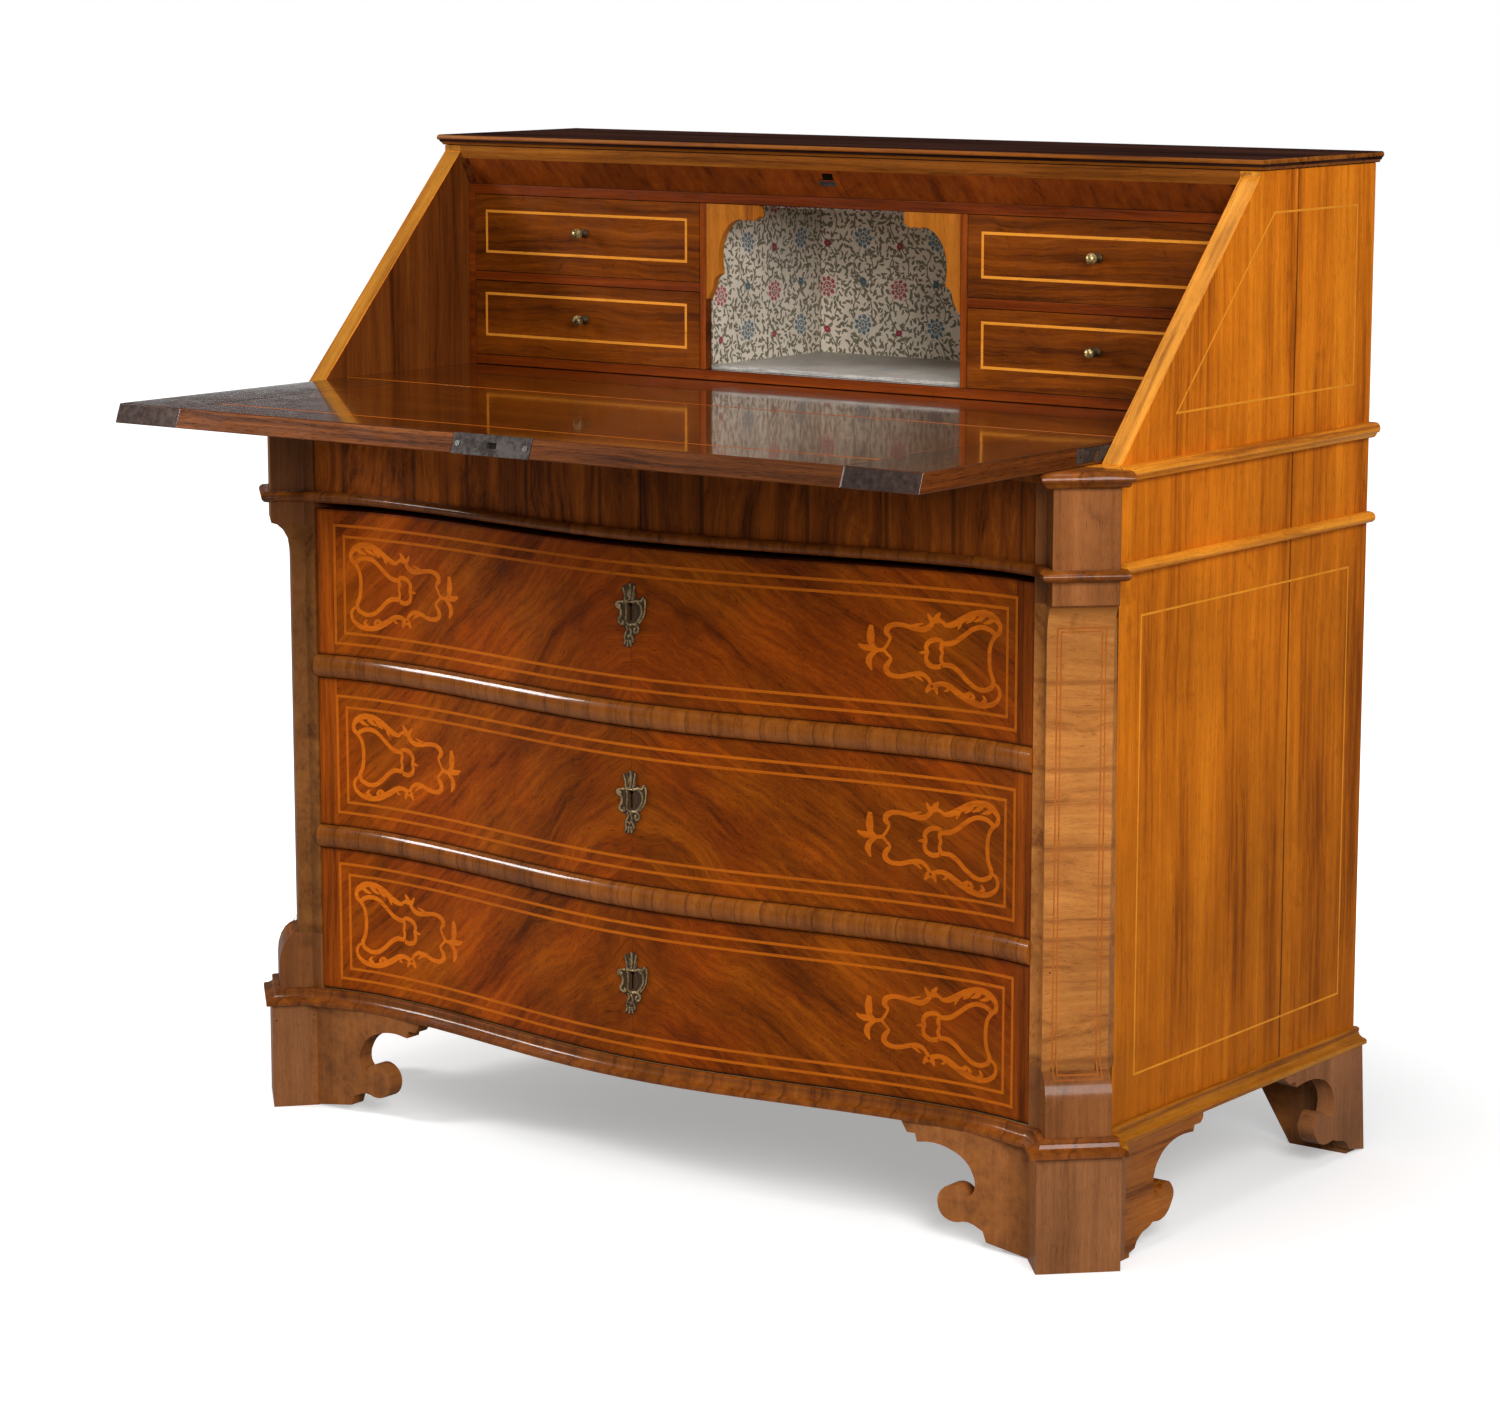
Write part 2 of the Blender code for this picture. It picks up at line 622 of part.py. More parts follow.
def turned(name, profile, steps, finish):
    # Turned about Y from points of radius and distance in front of y = 0
    mesh = bpy.data.meshes.new(name)
    points = [(radius, 0, out) for radius, out in profile]
    mesh.from_pydata(points, [(i, i + 1) for i in range(len(points) - 1)], [])
    piece = place(name, mesh, finish)
    spin = piece.modifiers.new("turned", 'SCREW')
    spin.axis = 'Z'
    spin.steps = spin.render_steps = steps
    spin.use_merge_vertices = True
    spin.merge_threshold = weld
    spin.use_smooth_shade = True
    piece.rotation_euler = (math.radians(90), 0, 0)
    return piece


small_levels = {
    "upper": (shelf_top + slide_gap, high_drawer_height), "lower": (floor_top + slide_gap, low_drawer_height)}
small_inner = divider_outer + side_gap
small_outer = frame_inner - side_gap
for side, sign in (("left", -1), ("right", 1)):
    for row, (low, height) in small_levels.items():
        name = "small_drawer_" + row + "_" + side
        near, far = sorted((sign * small_inner, sign * small_outer))
        drawer = box(name, (near, gallery_front, low), (far, gallery_front + small_front, low + height),
                     "interior_walnut")
        rear = inside_back - small_back_gap
        tray_low = low - slide_gap + touch
        tray_near, tray_far = near + side_gap, far - side_gap
        lap = small_front / 2
        join(drawer, box(name + "_tray", (tray_near, gallery_front + lap, tray_low),
                         (tray_far, rear, low + height - small_lap)))
        cut(drawer, box(name + "_space",
                        (tray_near + small_wall, gallery_front + small_front, low + small_bottom),
                        (tray_far - small_wall, rear - small_wall, low + height + overrun)))
        centre = (near + far) / 2
        slide = seat(name + "_slide", (centre, gallery_front, low + height / 2))
        carry(slide, drawer)
        profile = [(knob_radius * r, knob_reach * out) for r, out in knob_profile_shares]
        knob = turned("small_knob_" + row + "_" + side, profile, knob_steps, "knob_brass")
        knob.parent = slide
        knob.location = (0, -touch, height * (knob_height_share - 0.5))

# Fall: a panel between two end battens. Open, it lies level; closed, its bevelled far edge
# meets the top rail.
fall_front_clearance = 0.001
batten_width = 0.0875
fall_arc_steps = 6
climb = Vector((math.cos(slope_angle), math.sin(slope_angle)))
inward = Vector((climb.y, -climb.x))
pivot = Vector((hinge_y, hinge_z))
band_along = (band_foot - band_top).normalized()
band_out = Vector((band_along.y, -band_along.x))
band_line = (band_top + band_out * fall_front_clearance, band_along)
far_top = (meet((pivot + inward * half_fall, climb), band_line) - pivot).dot(climb)
far_low = (meet((pivot - inward * half_fall, climb), band_line) - pivot).dot(climb)
far_mid = (far_top + far_low) / 2
rear_angle = math.degrees(math.asin(half_fall / fall_radius))
fall_outline = arc((hinge_y, hinge_z), (fall_radius, fall_radius), -rear_angle, rear_angle, fall_arc_steps)
fall_outline += [(hinge_y - far_top, fall_top), (hinge_y - far_low, fall_low)]
panel_half = fall_half_length - batten_width
fall = slab("fall_panel", "side", [fall_outline], touch - panel_half, panel_half - touch, "interior_walnut")
hinge_seat = seat("fall_hinge_axis", (0, hinge_y, hinge_z))

# Iron lock in the far edge, with a plate that follows the bevel and a bolt
lock_left = -0.047
lock_right = 0.052
lock_plate = 0.0025
lock_case_half = 0.040
lock_case_depth = 0.058
lock_case_thickness = 0.012
lock_fit = 0.0003
bolt_half_width = 0.006
bolt_thickness = 0.005
bolt_length = 0.030
bolt_travel = 0.010
bolt_fit = 0.0004


def bevel_y(height):
    # Where the fall's far edge stands at this height
    return hinge_y - far_low + (far_low - far_top) * (height - fall_low) / fall_thickness


def lock_shape(name, grow, finish=None):
    # The plate and case, grown on every hidden side for the pocket they sit in
    ahead = overrun if grow else 0
    low, high = fall_low - ahead, fall_top + ahead
    plate = [(bevel_y(low) - ahead, low), (bevel_y(high) - ahead, high),
             (bevel_y(high) + lock_plate + grow, high), (bevel_y(low) + lock_plate + grow, low)]
    piece = slab(name, "side", [plate], lock_left - grow, lock_right + grow, finish)
    centre = (lock_left + lock_right) / 2
    half = lock_case_thickness / 2 + grow
    low, high = hinge_z - half, hinge_z + half
    rear = bevel_y(hinge_z) + lock_case_depth + grow
    case = [(bevel_y(low) + lock_plate / 2, low), (bevel_y(high) + lock_plate / 2, high),
            (rear, high), (rear, low)]
    return join(piece, slab(name + "_case", "side", [case], centre - lock_case_half - grow,
                            centre + lock_case_half + grow))


lock_centre = (lock_left + lock_right) / 2
pocket = lock_shape("fall_lock_pocket", lock_fit)
cut(fall, pocket)
lock = lock_shape("fall_lock", 0, "dark_iron")
bolt_front = hinge_y - far_top + touch
channel_half = bolt_half_width + bolt_fit
channel_rise = bolt_thickness / 2 + bolt_fit
channel = box("fall_bolt_channel",
              (lock_centre - channel_half, hinge_y - far_low - overrun, hinge_z - channel_rise),
              (lock_centre + channel_half, bolt_front + bolt_length + bolt_fit, hinge_z + channel_rise))
cut(lock, channel)
fall_bolt = box("fall_bolt",
                (lock_centre - bolt_half_width, bolt_front, hinge_z - bolt_thickness / 2),
                (lock_centre + bolt_half_width, bolt_front + bolt_length, hinge_z + bolt_thickness / 2),
                "dark_iron")
key_radius = 0.0026
key_slot = 0.0014
fall_key_drop = 0.0095
fall_key_depth = 0.032    # keyhole behind the fall's far edge


def keyhole(x, height, drop):
    # A round hole with a slot under it
    start = math.degrees(math.asin(key_slot / key_radius))
    ring = arc((x, height), (key_radius, key_radius), -90 + start, 270 - start, 14)
    return ring + [(x - key_slot, height - drop), (x + key_slot, height - drop)]


fall_key_outline = keyhole(lock_centre, hinge_y - far_mid + fall_key_depth, fall_key_drop)
fall_key = slab("fall_keyhole", "plan", [fall_key_outline], fall_low - overrun,
                hinge_z - lock_case_thickness / 4)
cut(fall, fall_key)
cut(lock, fall_key)

# Keeper slot for the fall's bolt, along the closed fall's slope
keeper_clearance = 0.001
keeper_depth = 0.014
keeper_reach = far_mid - fall_front_clearance - overrun
start = pivot + climb * (keeper_reach - overrun)
end = pivot + climb * (far_mid + fall_front_clearance + keeper_depth)
rise = inward * (bolt_thickness / 2 + keeper_clearance)
keeper = [start + rise, end + rise, end - rise, start - rise]
cut(top_rail, slab("keeper_slot", "side", [keeper], lock_centre - bolt_half_width - keeper_clearance,
                   lock_centre + bolt_half_width + keeper_clearance))

# Pivot plates let into the fall's ends, each with a pin that turns in the side panel
plate_length = 0.068      # ahead of the pivot
plate_lap = 0.008
plate_height = 0.014
plate_thickness = 0.0015
plate_fit = 0.0003
plate_front = hinge_y - plate_length
for side, sign in (("left", -1), ("right", 1)):
    low, high = sorted((sign * panel_half, sign * fall_half_length))
    batten = slab("fall_batten_" + side, "side", [fall_outline], low, high, "interior_walnut")
    low, high = sorted((sign * (fall_half_length - plate_thickness), sign * fall_half_length))
    plate = box("fall_hinge_" + side, (low, plate_front, hinge_z - plate_height / 2),
                (high, hinge_y + plate_lap, hinge_z + plate_height / 2), "dark_iron")
    pin = circle((hinge_y, hinge_z), pin_radius)
    pin_end = case_half_width - side_thickness + pin_length - pin_clearance
    low, high = sorted((sign * (fall_half_length - plate_thickness / 2), sign * pin_end))
    join(plate, slab("hinge_pin_" + side, "side", [pin], low, high))
    pocket_depth = plate_thickness + plate_fit
    pocket_rise = plate_height / 2 + plate_fit
    low, high = sorted((sign * (fall_half_length - pocket_depth), sign * (fall_half_length + overrun)))
    cut(batten, box("plate_pocket_" + side, (low, plate_front - plate_fit, hinge_z - pocket_rise),
                    (high, hinge_y + plate_lap + plate_fit, hinge_z + pocket_rise)))
    carry(hinge_seat, batten, plate)
carry(hinge_seat, fall, lock, fall_bolt)

# Long drawers: a shaped front, a box behind it, a lock with a rising bolt and an escutcheon
front_back = 0.075
drawer_half = opening_half - side_gap
box_side_gap = 0.0035
box_wall = 0.012
box_bottom = 0.008
box_drop = 0.012          # the box stands this much lower than the front
box_back_gap = 0.012
box_half = opening_half - box_side_gap
lock_height = 0.095
lock_half_width = 0.036
lock_depth = 0.017
drawer_bolt_half = 0.007
drawer_bolt_thickness = 0.006
drawer_bolt_length = 0.028
drawer_bolt_travel = 0.012
escutcheon_half_width = 0.0202
escutcheon_half_height = 0.0335
escutcheon_thickness = 0.002
drawer_key_rise = 0.0108  # round hole above the middle of the escutcheon
drawer_key_drop = 0.0165
escutcheon_height_shares = {1: 0.5621, 2: 0.5212, 3: 0.5016}
escutcheon_outline_shares = [
    (0.0, 1.0), (0.25, 0.97), (0.34, 0.82), (0.30, 0.61), (0.45, 0.53), (0.69, 0.555), (0.84, 0.63),
    (0.99, 0.54), (1.0, 0.27), (0.91, -0.01), (0.64, -0.21), (0.55, -0.29), (0.59, -0.41), (0.47, -0.555),
    (0.26, -0.66), (0.24, -0.82), (0.11, -0.93), (-0.17, -1.0), (-0.47, -0.925), (-0.475, -0.82),
    (-0.40, -0.745), (-0.465, -0.64), (-0.31, -0.45), (-0.445, -0.365), (-0.69, -0.335), (-0.84, -0.225),
    (-0.68, -0.015), (-0.77, 0.125), (-0.98, 0.255), (-0.92, 0.37), (-0.59, 0.42), (-0.435, 0.49),
    (-0.445, 0.64), (-0.555, 0.85), (-0.32, 0.91)]
front_steps = [(x, bow(x)) for x in bow_stations(drawer_half)]
front_outline = front_steps + [(-drawer_half, front_back), (drawer_half, front_back)]
above = {1: frieze, 2: rails[1], 3: rails[2]}
floors = {1: rail_top[1], 2: rail_top[2], 3: base_top}
box_rear = inside_back - box_back_gap
lock_front = front_back - lock_depth
pocket_half = lock_half_width + lock_fit
bolt_y = front_back - lock_depth / 2
bolt_side = drawer_bolt_half + bolt_fit
bolt_rise = drawer_bolt_thickness / 2 + bolt_fit
mortise_half = drawer_bolt_half + keeper_clearance
mortise_rise = drawer_bolt_thickness / 2 + keeper_clearance
plate_rear = bow_crown - touch
escutcheon_front = plate_rear - escutcheon_thickness
for number in (1, 2, 3):
    name = "drawer_" + str(number)
    low, high = drawer_low[number], drawer_high[number]
    floor = floors[number] + touch
    slide = seat(name + "_slide", (0, front_back, (low + high) / 2))
    front = slab(name + "_front", "plan", [front_outline], low, high, "front_walnut")
    case = box(name + "_box", (-box_half, front_back + touch, floor), (box_half, box_rear, high - box_drop),
               "carcass_pine")
    cut(case, box(name + "_space", (box_wall - box_half, front_back - overrun, floor + box_bottom),
                  (box_half - box_wall, box_rear - box_wall, high + overrun)))
    lock_top = high - touch
    lock_low = lock_top - lock_height
    lock = box(name + "_lock", (-lock_half_width, lock_front, lock_low),
               (lock_half_width, front_back - touch, lock_top), "dark_iron")
    cut(front, box(name + "_lock_pocket", (-pocket_half, lock_front - lock_fit, lock_low - lock_fit),
                   (pocket_half, front_back + overrun, high + overrun)))
    bolt_low = lock_top - drawer_bolt_length
    cut(lock, box(name + "_bolt_channel", (-bolt_side, bolt_y - bolt_rise, bolt_low - bolt_fit),
                  (bolt_side, bolt_y + bolt_rise, high + overrun)))
    bolt = box(name + "_bolt", (-drawer_bolt_half, bolt_y - drawer_bolt_thickness / 2, bolt_low),
               (drawer_bolt_half, bolt_y + drawer_bolt_thickness / 2, lock_top), "dark_iron")
    mortise_top = lock_top + drawer_bolt_travel + keeper_clearance
    cut(above[number], box(name + "_mortise", (-mortise_half, bolt_y - mortise_rise, high - overrun),
                           (mortise_half, bolt_y + mortise_rise, mortise_top)))
    middle = low + drawer_heights[number] * escutcheon_height_shares[number]
    key = slab(name + "_keyhole", "front", [keyhole(0, middle + drawer_key_rise, drawer_key_drop)],
               escutcheon_front - overrun, bolt_y)
    cut(front, key)
    cut(lock, key)
    outline = [(escutcheon_half_width * u, middle + escutcheon_half_height * v)
               for u, v in escutcheon_outline_shares]
    plate = slab(name + "_escutcheon", "front", [outline], escutcheon_front, plate_rear, "aged_brass",
                 smooth=2)
    cut(plate, key)
    carry(slide, front, case, lock, bolt, plate)

# The desk's depth is centred on the origin: from the open fall's far edge to the rear of the top
desk_front = hinge_y - max(far_top, far_low)
desk_rear = case_back + top_rear_overhang
centre_y = (desk_front + desk_rear) / 2
for thing in list(parts.objects) + list(cutters.objects):
    if thing.parent is None:
        thing.location.y -= centre_y
print("centre of depth", centre_y, "pivot", hinge_y - centre_y, hinge_z, "top", desk_top)
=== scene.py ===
import json
import math

import bmesh
import bpy
from mathutils import Matrix, Vector
from mathutils.geometry import delaunay_2d_cdt


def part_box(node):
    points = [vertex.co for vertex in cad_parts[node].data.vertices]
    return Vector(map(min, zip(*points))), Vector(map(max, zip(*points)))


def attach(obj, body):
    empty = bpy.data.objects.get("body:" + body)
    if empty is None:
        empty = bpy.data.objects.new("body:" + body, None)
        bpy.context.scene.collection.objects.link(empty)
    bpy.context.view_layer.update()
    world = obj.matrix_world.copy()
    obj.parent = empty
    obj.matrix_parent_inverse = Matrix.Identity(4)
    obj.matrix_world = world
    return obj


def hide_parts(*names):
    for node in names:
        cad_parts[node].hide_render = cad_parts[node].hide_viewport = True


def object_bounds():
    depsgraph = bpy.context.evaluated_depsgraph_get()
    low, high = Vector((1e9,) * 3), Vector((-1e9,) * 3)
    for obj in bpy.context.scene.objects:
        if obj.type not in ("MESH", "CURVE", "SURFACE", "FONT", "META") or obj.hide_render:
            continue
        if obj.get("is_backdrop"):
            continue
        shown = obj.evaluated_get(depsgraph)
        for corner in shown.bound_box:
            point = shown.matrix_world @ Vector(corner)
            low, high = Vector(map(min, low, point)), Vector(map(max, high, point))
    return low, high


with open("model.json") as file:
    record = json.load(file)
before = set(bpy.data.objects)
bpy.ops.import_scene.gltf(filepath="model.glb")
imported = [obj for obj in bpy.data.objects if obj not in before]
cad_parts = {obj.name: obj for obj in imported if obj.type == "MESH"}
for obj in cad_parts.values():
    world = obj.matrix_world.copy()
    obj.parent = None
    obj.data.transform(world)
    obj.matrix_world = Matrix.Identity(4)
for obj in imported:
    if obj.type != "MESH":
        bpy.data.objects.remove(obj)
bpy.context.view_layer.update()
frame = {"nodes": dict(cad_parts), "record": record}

scene = bpy.context.scene
scene.view_settings.view_transform = 'Standard'
numbers = (1, 2, 3)         # the long drawers
sides = (("left", -1), ("right", 1))
smallDrawers = [row + "_" + side for row in ("upper", "lower") for side in ("left", "right")]


# Node helpers: every value is a number, a tuple or another node's socket
class Graph:
    def __init__(self, tree):
        self.tree = tree
        self.count = 0

    def fill(self, node, values):
        # Sets or links inputs of a node, which are given by name or in order
        pairs = values.items() if isinstance(values, dict) else enumerate(values)
        for key, value in pairs:
            if value is None:
                continue
            socket = node.inputs[key]
            if isinstance(value, bpy.types.NodeSocket):
                self.tree.links.new(value, socket)
            elif socket.type == 'RGBA' and len(value) == 3:
                socket.default_value = (*value, 1.0)
            else:
                socket.default_value = value
        return node

    def add(self, kind, values=(), **settings):
        node = self.tree.nodes.new(kind)
        node.location = (230 * (self.count // 5), -300 * (self.count % 5))
        self.count += 1
        for name, value in settings.items():
            setattr(node, name, value)
        return self.fill(node, values)

    def math(self, what, a, b=None, c=None):
        return self.add('ShaderNodeMath', (a, b, c), operation=what).outputs[0]

    def plus(self, a, b):
        return self.math('ADD', a, b)

    def minus(self, a, b):
        return self.math('SUBTRACT', a, b)

    def times(self, a, b):
        return self.math('MULTIPLY', a, b)

    def absolute(self, a):
        return self.math('ABSOLUTE', a)

    def vector(self, what, a, b=None):
        node = self.add('ShaderNodeVectorMath', (a, b), operation=what)
        return node.outputs['Value' if what in ('LENGTH', 'DOT_PRODUCT') else 'Vector']

    def noise(self, where, scale=1.0, detail=2.0, roughness=0.5, distortion=0.0):
        node = self.add('ShaderNodeTexNoise', {'Vector': where, 'Scale': scale, 'Detail': detail,
            'Roughness': roughness, 'Distortion': distortion})
        return node.outputs['Fac']

    def fade(self, value, low, high, first=0.0, last=1.0):
        node = self.add('ShaderNodeMapRange', {'Value': value, 'From Min': low, 'From Max': high,
            'To Min': first, 'To Max': last}, interpolation_type='SMOOTHSTEP')
        return node.outputs[0]

    def blend(self, factor, a, b, how='MIX'):
        node = self.add('ShaderNodeMix', {0: factor, 6: a, 7: b}, data_type='RGBA', blend_type=how)
        return node.outputs[2]

    def scaled(self, colour, gain):
        return self.blend(1.0, colour, self.join(gain, gain, gain), 'MULTIPLY')

    def between(self, factor, a, b):
        return self.add('ShaderNodeMix', {0: factor, 2: a, 3: b}, data_type='FLOAT').outputs[0]

    def split(self, vector):
        return self.add('ShaderNodeSeparateXYZ', (vector,)).outputs

    def join(self, x, y, z):
        return self.add('ShaderNodeCombineXYZ', (x, y, z)).outputs[0]

    def stretch(self, vector, x, y, z):
        return self.vector('MULTIPLY', vector, (x, y, z))

    def use(self, group, **values):
        node = self.add('ShaderNodeGroup')
        node.node_tree = group
        return self.fill(node, values).outputs


kinds = {'colour': 'NodeSocketColor', 'number': 'NodeSocketFloat', 'vector': 'NodeSocketVector'}


def shaderGroup(name, inputs, outputs):
    # A shader node group with named sockets; inputs are (name, kind, value)
    tree = bpy.data.node_groups.new(name, 'ShaderNodeTree')
    for title, kind, value in inputs:
        socket = tree.interface.new_socket(title, in_out='INPUT', socket_type=kinds[kind])
        if value is not None:
            socket.default_value = (*value, 1.0) if kind == 'colour' else value
    for title, kind in outputs:
        tree.interface.new_socket(title, in_out='OUTPUT', socket_type=kinds[kind])
    graph = Graph(tree)
    start = graph.add('NodeGroupInput').outputs
    end = graph.add('NodeGroupOutput')

    def send(**values):
        for title, value in values.items():
            tree.links.new(value, end.inputs[title])
    return tree, graph, start, send


# Wood, grain along local Z: bands, streaks, fibres and the short dark pores of walnut
woodFibre, g, put, send = shaderGroup("woodFibre", [("Vector", 'vector', None), ("Seed", 'number', 0.0),
    ("Light", 'colour', (0.5, 0.2, 0.05)), ("Middle", 'colour', (0.3, 0.1, 0.02)),
    ("Dark", 'colour', (0.1, 0.03, 0.005)), ("Band", 'number', 26.0), ("Wave", 'number', 0.006),
    ("Contrast", 'number', 1.0), ("Veins", 'number', 0.5), ("Pores", 'number', 0.4)],
    [("Color", 'colour'), ("Height", 'number')])
moved = g.vector('ADD', put["Vector"], g.join(put["Seed"], g.times(put["Seed"], 0.7),
    g.times(put["Seed"], 1.3)))
sway = g.times(g.minus(g.noise(g.stretch(moved, 5.0, 5.0, 2.6), 1.0, 3.0, 0.5), 0.5), put["Wave"])
moved = g.vector('ADD', moved, g.join(g.times(sway, 4.0), g.times(sway, 4.0), 0.0))
bandScale = put["Band"]
broad = g.noise(g.vector('MULTIPLY', moved, g.join(bandScale, bandScale, 1.5)), 1.0, 4.0, 0.62)
streak = g.noise(g.stretch(moved, 150.0, 150.0, 3.6), 1.0, 5.0, 0.65)
fibre = g.noise(g.stretch(moved, 1000.0, 1000.0, 20.0), 1.0, 2.0, 0.5)
pore = g.fade(g.noise(g.stretch(moved, 1700.0, 1700.0, 75.0), 1.0, 1.0, 0.5), 0.60, 0.72)
tone = g.plus(g.times(broad, 0.50), g.times(streak, 0.36))
tone = g.plus(tone, g.times(fibre, 0.14))
tone = g.plus(g.times(g.minus(tone, 0.5), g.times(put["Contrast"], 4.2)), 0.5)
colour = g.blend(g.fade(tone, 0.0, 0.55), put["Dark"], put["Middle"])
colour = g.blend(g.fade(tone, 0.45, 1.0), colour, put["Light"])
vein = g.fade(g.noise(g.stretch(moved, 75.0, 75.0, 0.9), 1.0, 6.0, 0.7), 0.60, 0.76)
colour = g.blend(g.times(vein, put["Veins"]), colour, put["Dark"])
shade = g.minus(1.0, g.times(pore, put["Pores"]))
colour = g.scaled(colour, shade)
height = g.minus(g.times(fibre, 0.5), g.times(pore, 0.8))
send(Color=colour, Height=height)

# Age: broad patches of darker polish, small stains and worm holes
aged, g, put, send = shaderGroup("agedPolish", [("Vector", 'vector', None),
    ("Color", 'colour', (0.5, 0.5, 0.5)), ("Patches", 'number', 0.4),
    ("Stain", 'colour', (0.12, 0.04, 0.01)), ("Stains", 'number', 0.4), ("Holes", 'number', 1.0),
    ("Low", 'number', 0.28), ("High", 'number', 0.5)], [("Color", 'colour'), ("Roughness", 'number')])
where = put["Vector"]
patch = g.noise(where, 7.0, 6.0, 0.62)
shade = g.plus(g.times(g.minus(patch, 0.5), g.times(put["Patches"], 2.0)), 1.0)
colour = g.scaled(put["Color"], shade)
stain = g.times(g.fade(g.noise(where, 19.0, 5.0, 0.7, 0.6), 0.58, 0.74), put["Stains"])
colour = g.blend(stain, colour, put["Stain"])
cell = g.add('ShaderNodeTexVoronoi', {'Vector': where, 'Scale': 42.0})
rare = g.math('GREATER_THAN', g.split(cell.outputs['Color'])[0], 0.80)
hole = g.times(g.fade(cell.outputs['Distance'], 0.030, 0.050, 1.0, 0.0), rare)
colour = g.blend(g.times(hole, put["Holes"]), colour, (0.015, 0.006, 0.002))
rub = g.noise(where, 31.0, 5.0, 0.7)
send(Color=colour, Roughness=g.between(g.fade(rub, 0.35, 0.68), put["Low"], put["High"]))

# Cross-banding: strips cut across the grain, each its own shade, with a dark hairline between
strips, g, put, send = shaderGroup("crossBands", [("Along", 'number', 0.0), ("Width", 'number', 0.017),
    ("Seed", 'number', 0.0)], [("Shade", 'number'), ("Joint", 'number'), ("Offset", 'number')])
run = g.plus(g.math('DIVIDE', put["Along"], put["Width"]), put["Seed"])
cell = g.add('ShaderNodeTexVoronoi', {'W': run, 'Scale': 1.0, 'Randomness': 0.85}, voronoi_dimensions='1D')
edge = g.add('ShaderNodeTexVoronoi', {'W': run, 'Scale': 1.0, 'Randomness': 0.85}, voronoi_dimensions='1D',
    feature='DISTANCE_TO_EDGE')
draw = g.split(cell.outputs['Color'])
send(Shade=draw[0], Offset=g.times(draw[1], 5.0), Joint=g.fade(edge.outputs['Distance'], 0.012, 0.045, 1.0,
    0.0))
print("shader groups ready")


def turnGrain(g, where, along):
    # Swaps the axes so that the grain of a board that runs along X, Y or the slant lies on local Z
    x, y, z = g.split(where)[:3]
    return {'X': lambda: g.join(z, y, x), 'Y': lambda: g.join(x, z, y), 'Z': lambda: where,
        'slant': lambda: g.join(x, g.minus(y, z), g.times(g.plus(y, z), 0.7))}[along]()


def grain(g, vector, tones, **more):
    light, middle, dark = tones
    return g.use(woodFibre, Vector=vector, Light=light, Middle=middle, Dark=dark, **more)


def setSurface(material, g, height, distance, strength, values):
    # Gives a material its surface; height is what its relief follows
    bump = g.add('ShaderNodeBump', {'Height': height, 'Distance': distance, 'Strength': strength})
    g.fill(material.node_tree.nodes["Principled BSDF"], {"Normal": bump.outputs[0], **values})
    return material


def polish(material, g, worn, height, look):
    return setSurface(material, g, height, look.get("relief", 0.0002), look.get("bump", 0.35),
        {"Base Color": worn["Color"], "Roughness": worn["Roughness"], "Coat Weight": look.get("coat", 0.0),
        "Coat Roughness": look.get("coatRoughness", 0.18), "Specular IOR Level": look.get("specular",
        0.08)})


def newMaterial(name):
    material = bpy.data.materials.new(name)
    material.use_nodes = True
    graph = Graph(material.node_tree)
    graph.count = 5
    where = graph.add('ShaderNodeTexCoord').outputs['Object']
    return material, graph, where


def wood(name, along, look):
    # Plain boards and veneers with a straight grain
    material, g, where = newMaterial(name)
    out = grain(g, turnGrain(g, where, along), look["tones"], Seed=look["seed"],
        Band=look.get("band", 26.0), Contrast=look.get("contrast", 1.0), Veins=look.get("veins", 0.5),
        Pores=look.get("pores", 0.4))
    colour = out["Color"]
    # painted light: the colour is made lighter from the first height to the second
    if "paintedLightUp" in look:          # lighter from the first height to the second
        low, high, gain = look["paintedLightUp"]
        lift = g.fade(g.split(where)[2], low, high, 1.0, gain)
        colour = g.scaled(colour, lift)
    if "joint" in look:             # a dark joint between two boards, at this y
        wander = g.times(g.minus(g.noise(where, 6.0, 3.0), 0.5), 0.004)
        gap = g.absolute(g.plus(g.minus(g.split(where)[1], look["joint"]), wander))
        colour = g.blend(g.fade(gap, 0.0003, 0.0022, 0.85, 0.0), colour, (0.05, 0.012, 0.001))
    # painted light and shade: the colour is made lighter or darker from one x to another
    if "paintedSideLight" in look:          # a change of tone from one x to another
        near, far, first, last = look["paintedSideLight"]
        lift = g.fade(g.split(where)[0], near, far, first, last)
        colour = g.scaled(colour, lift)
    worn = g.use(aged, Vector=where, Color=colour, Patches=look.get("patches", 0.35),
        Stain=look["tones"][2], Stains=look.get("stains", 0.35), Holes=look.get("holes", 0.0),
        Low=look.get("low", 0.28), High=look.get("high", 0.5))
    return polish(material, g, worn, out["Height"], look)


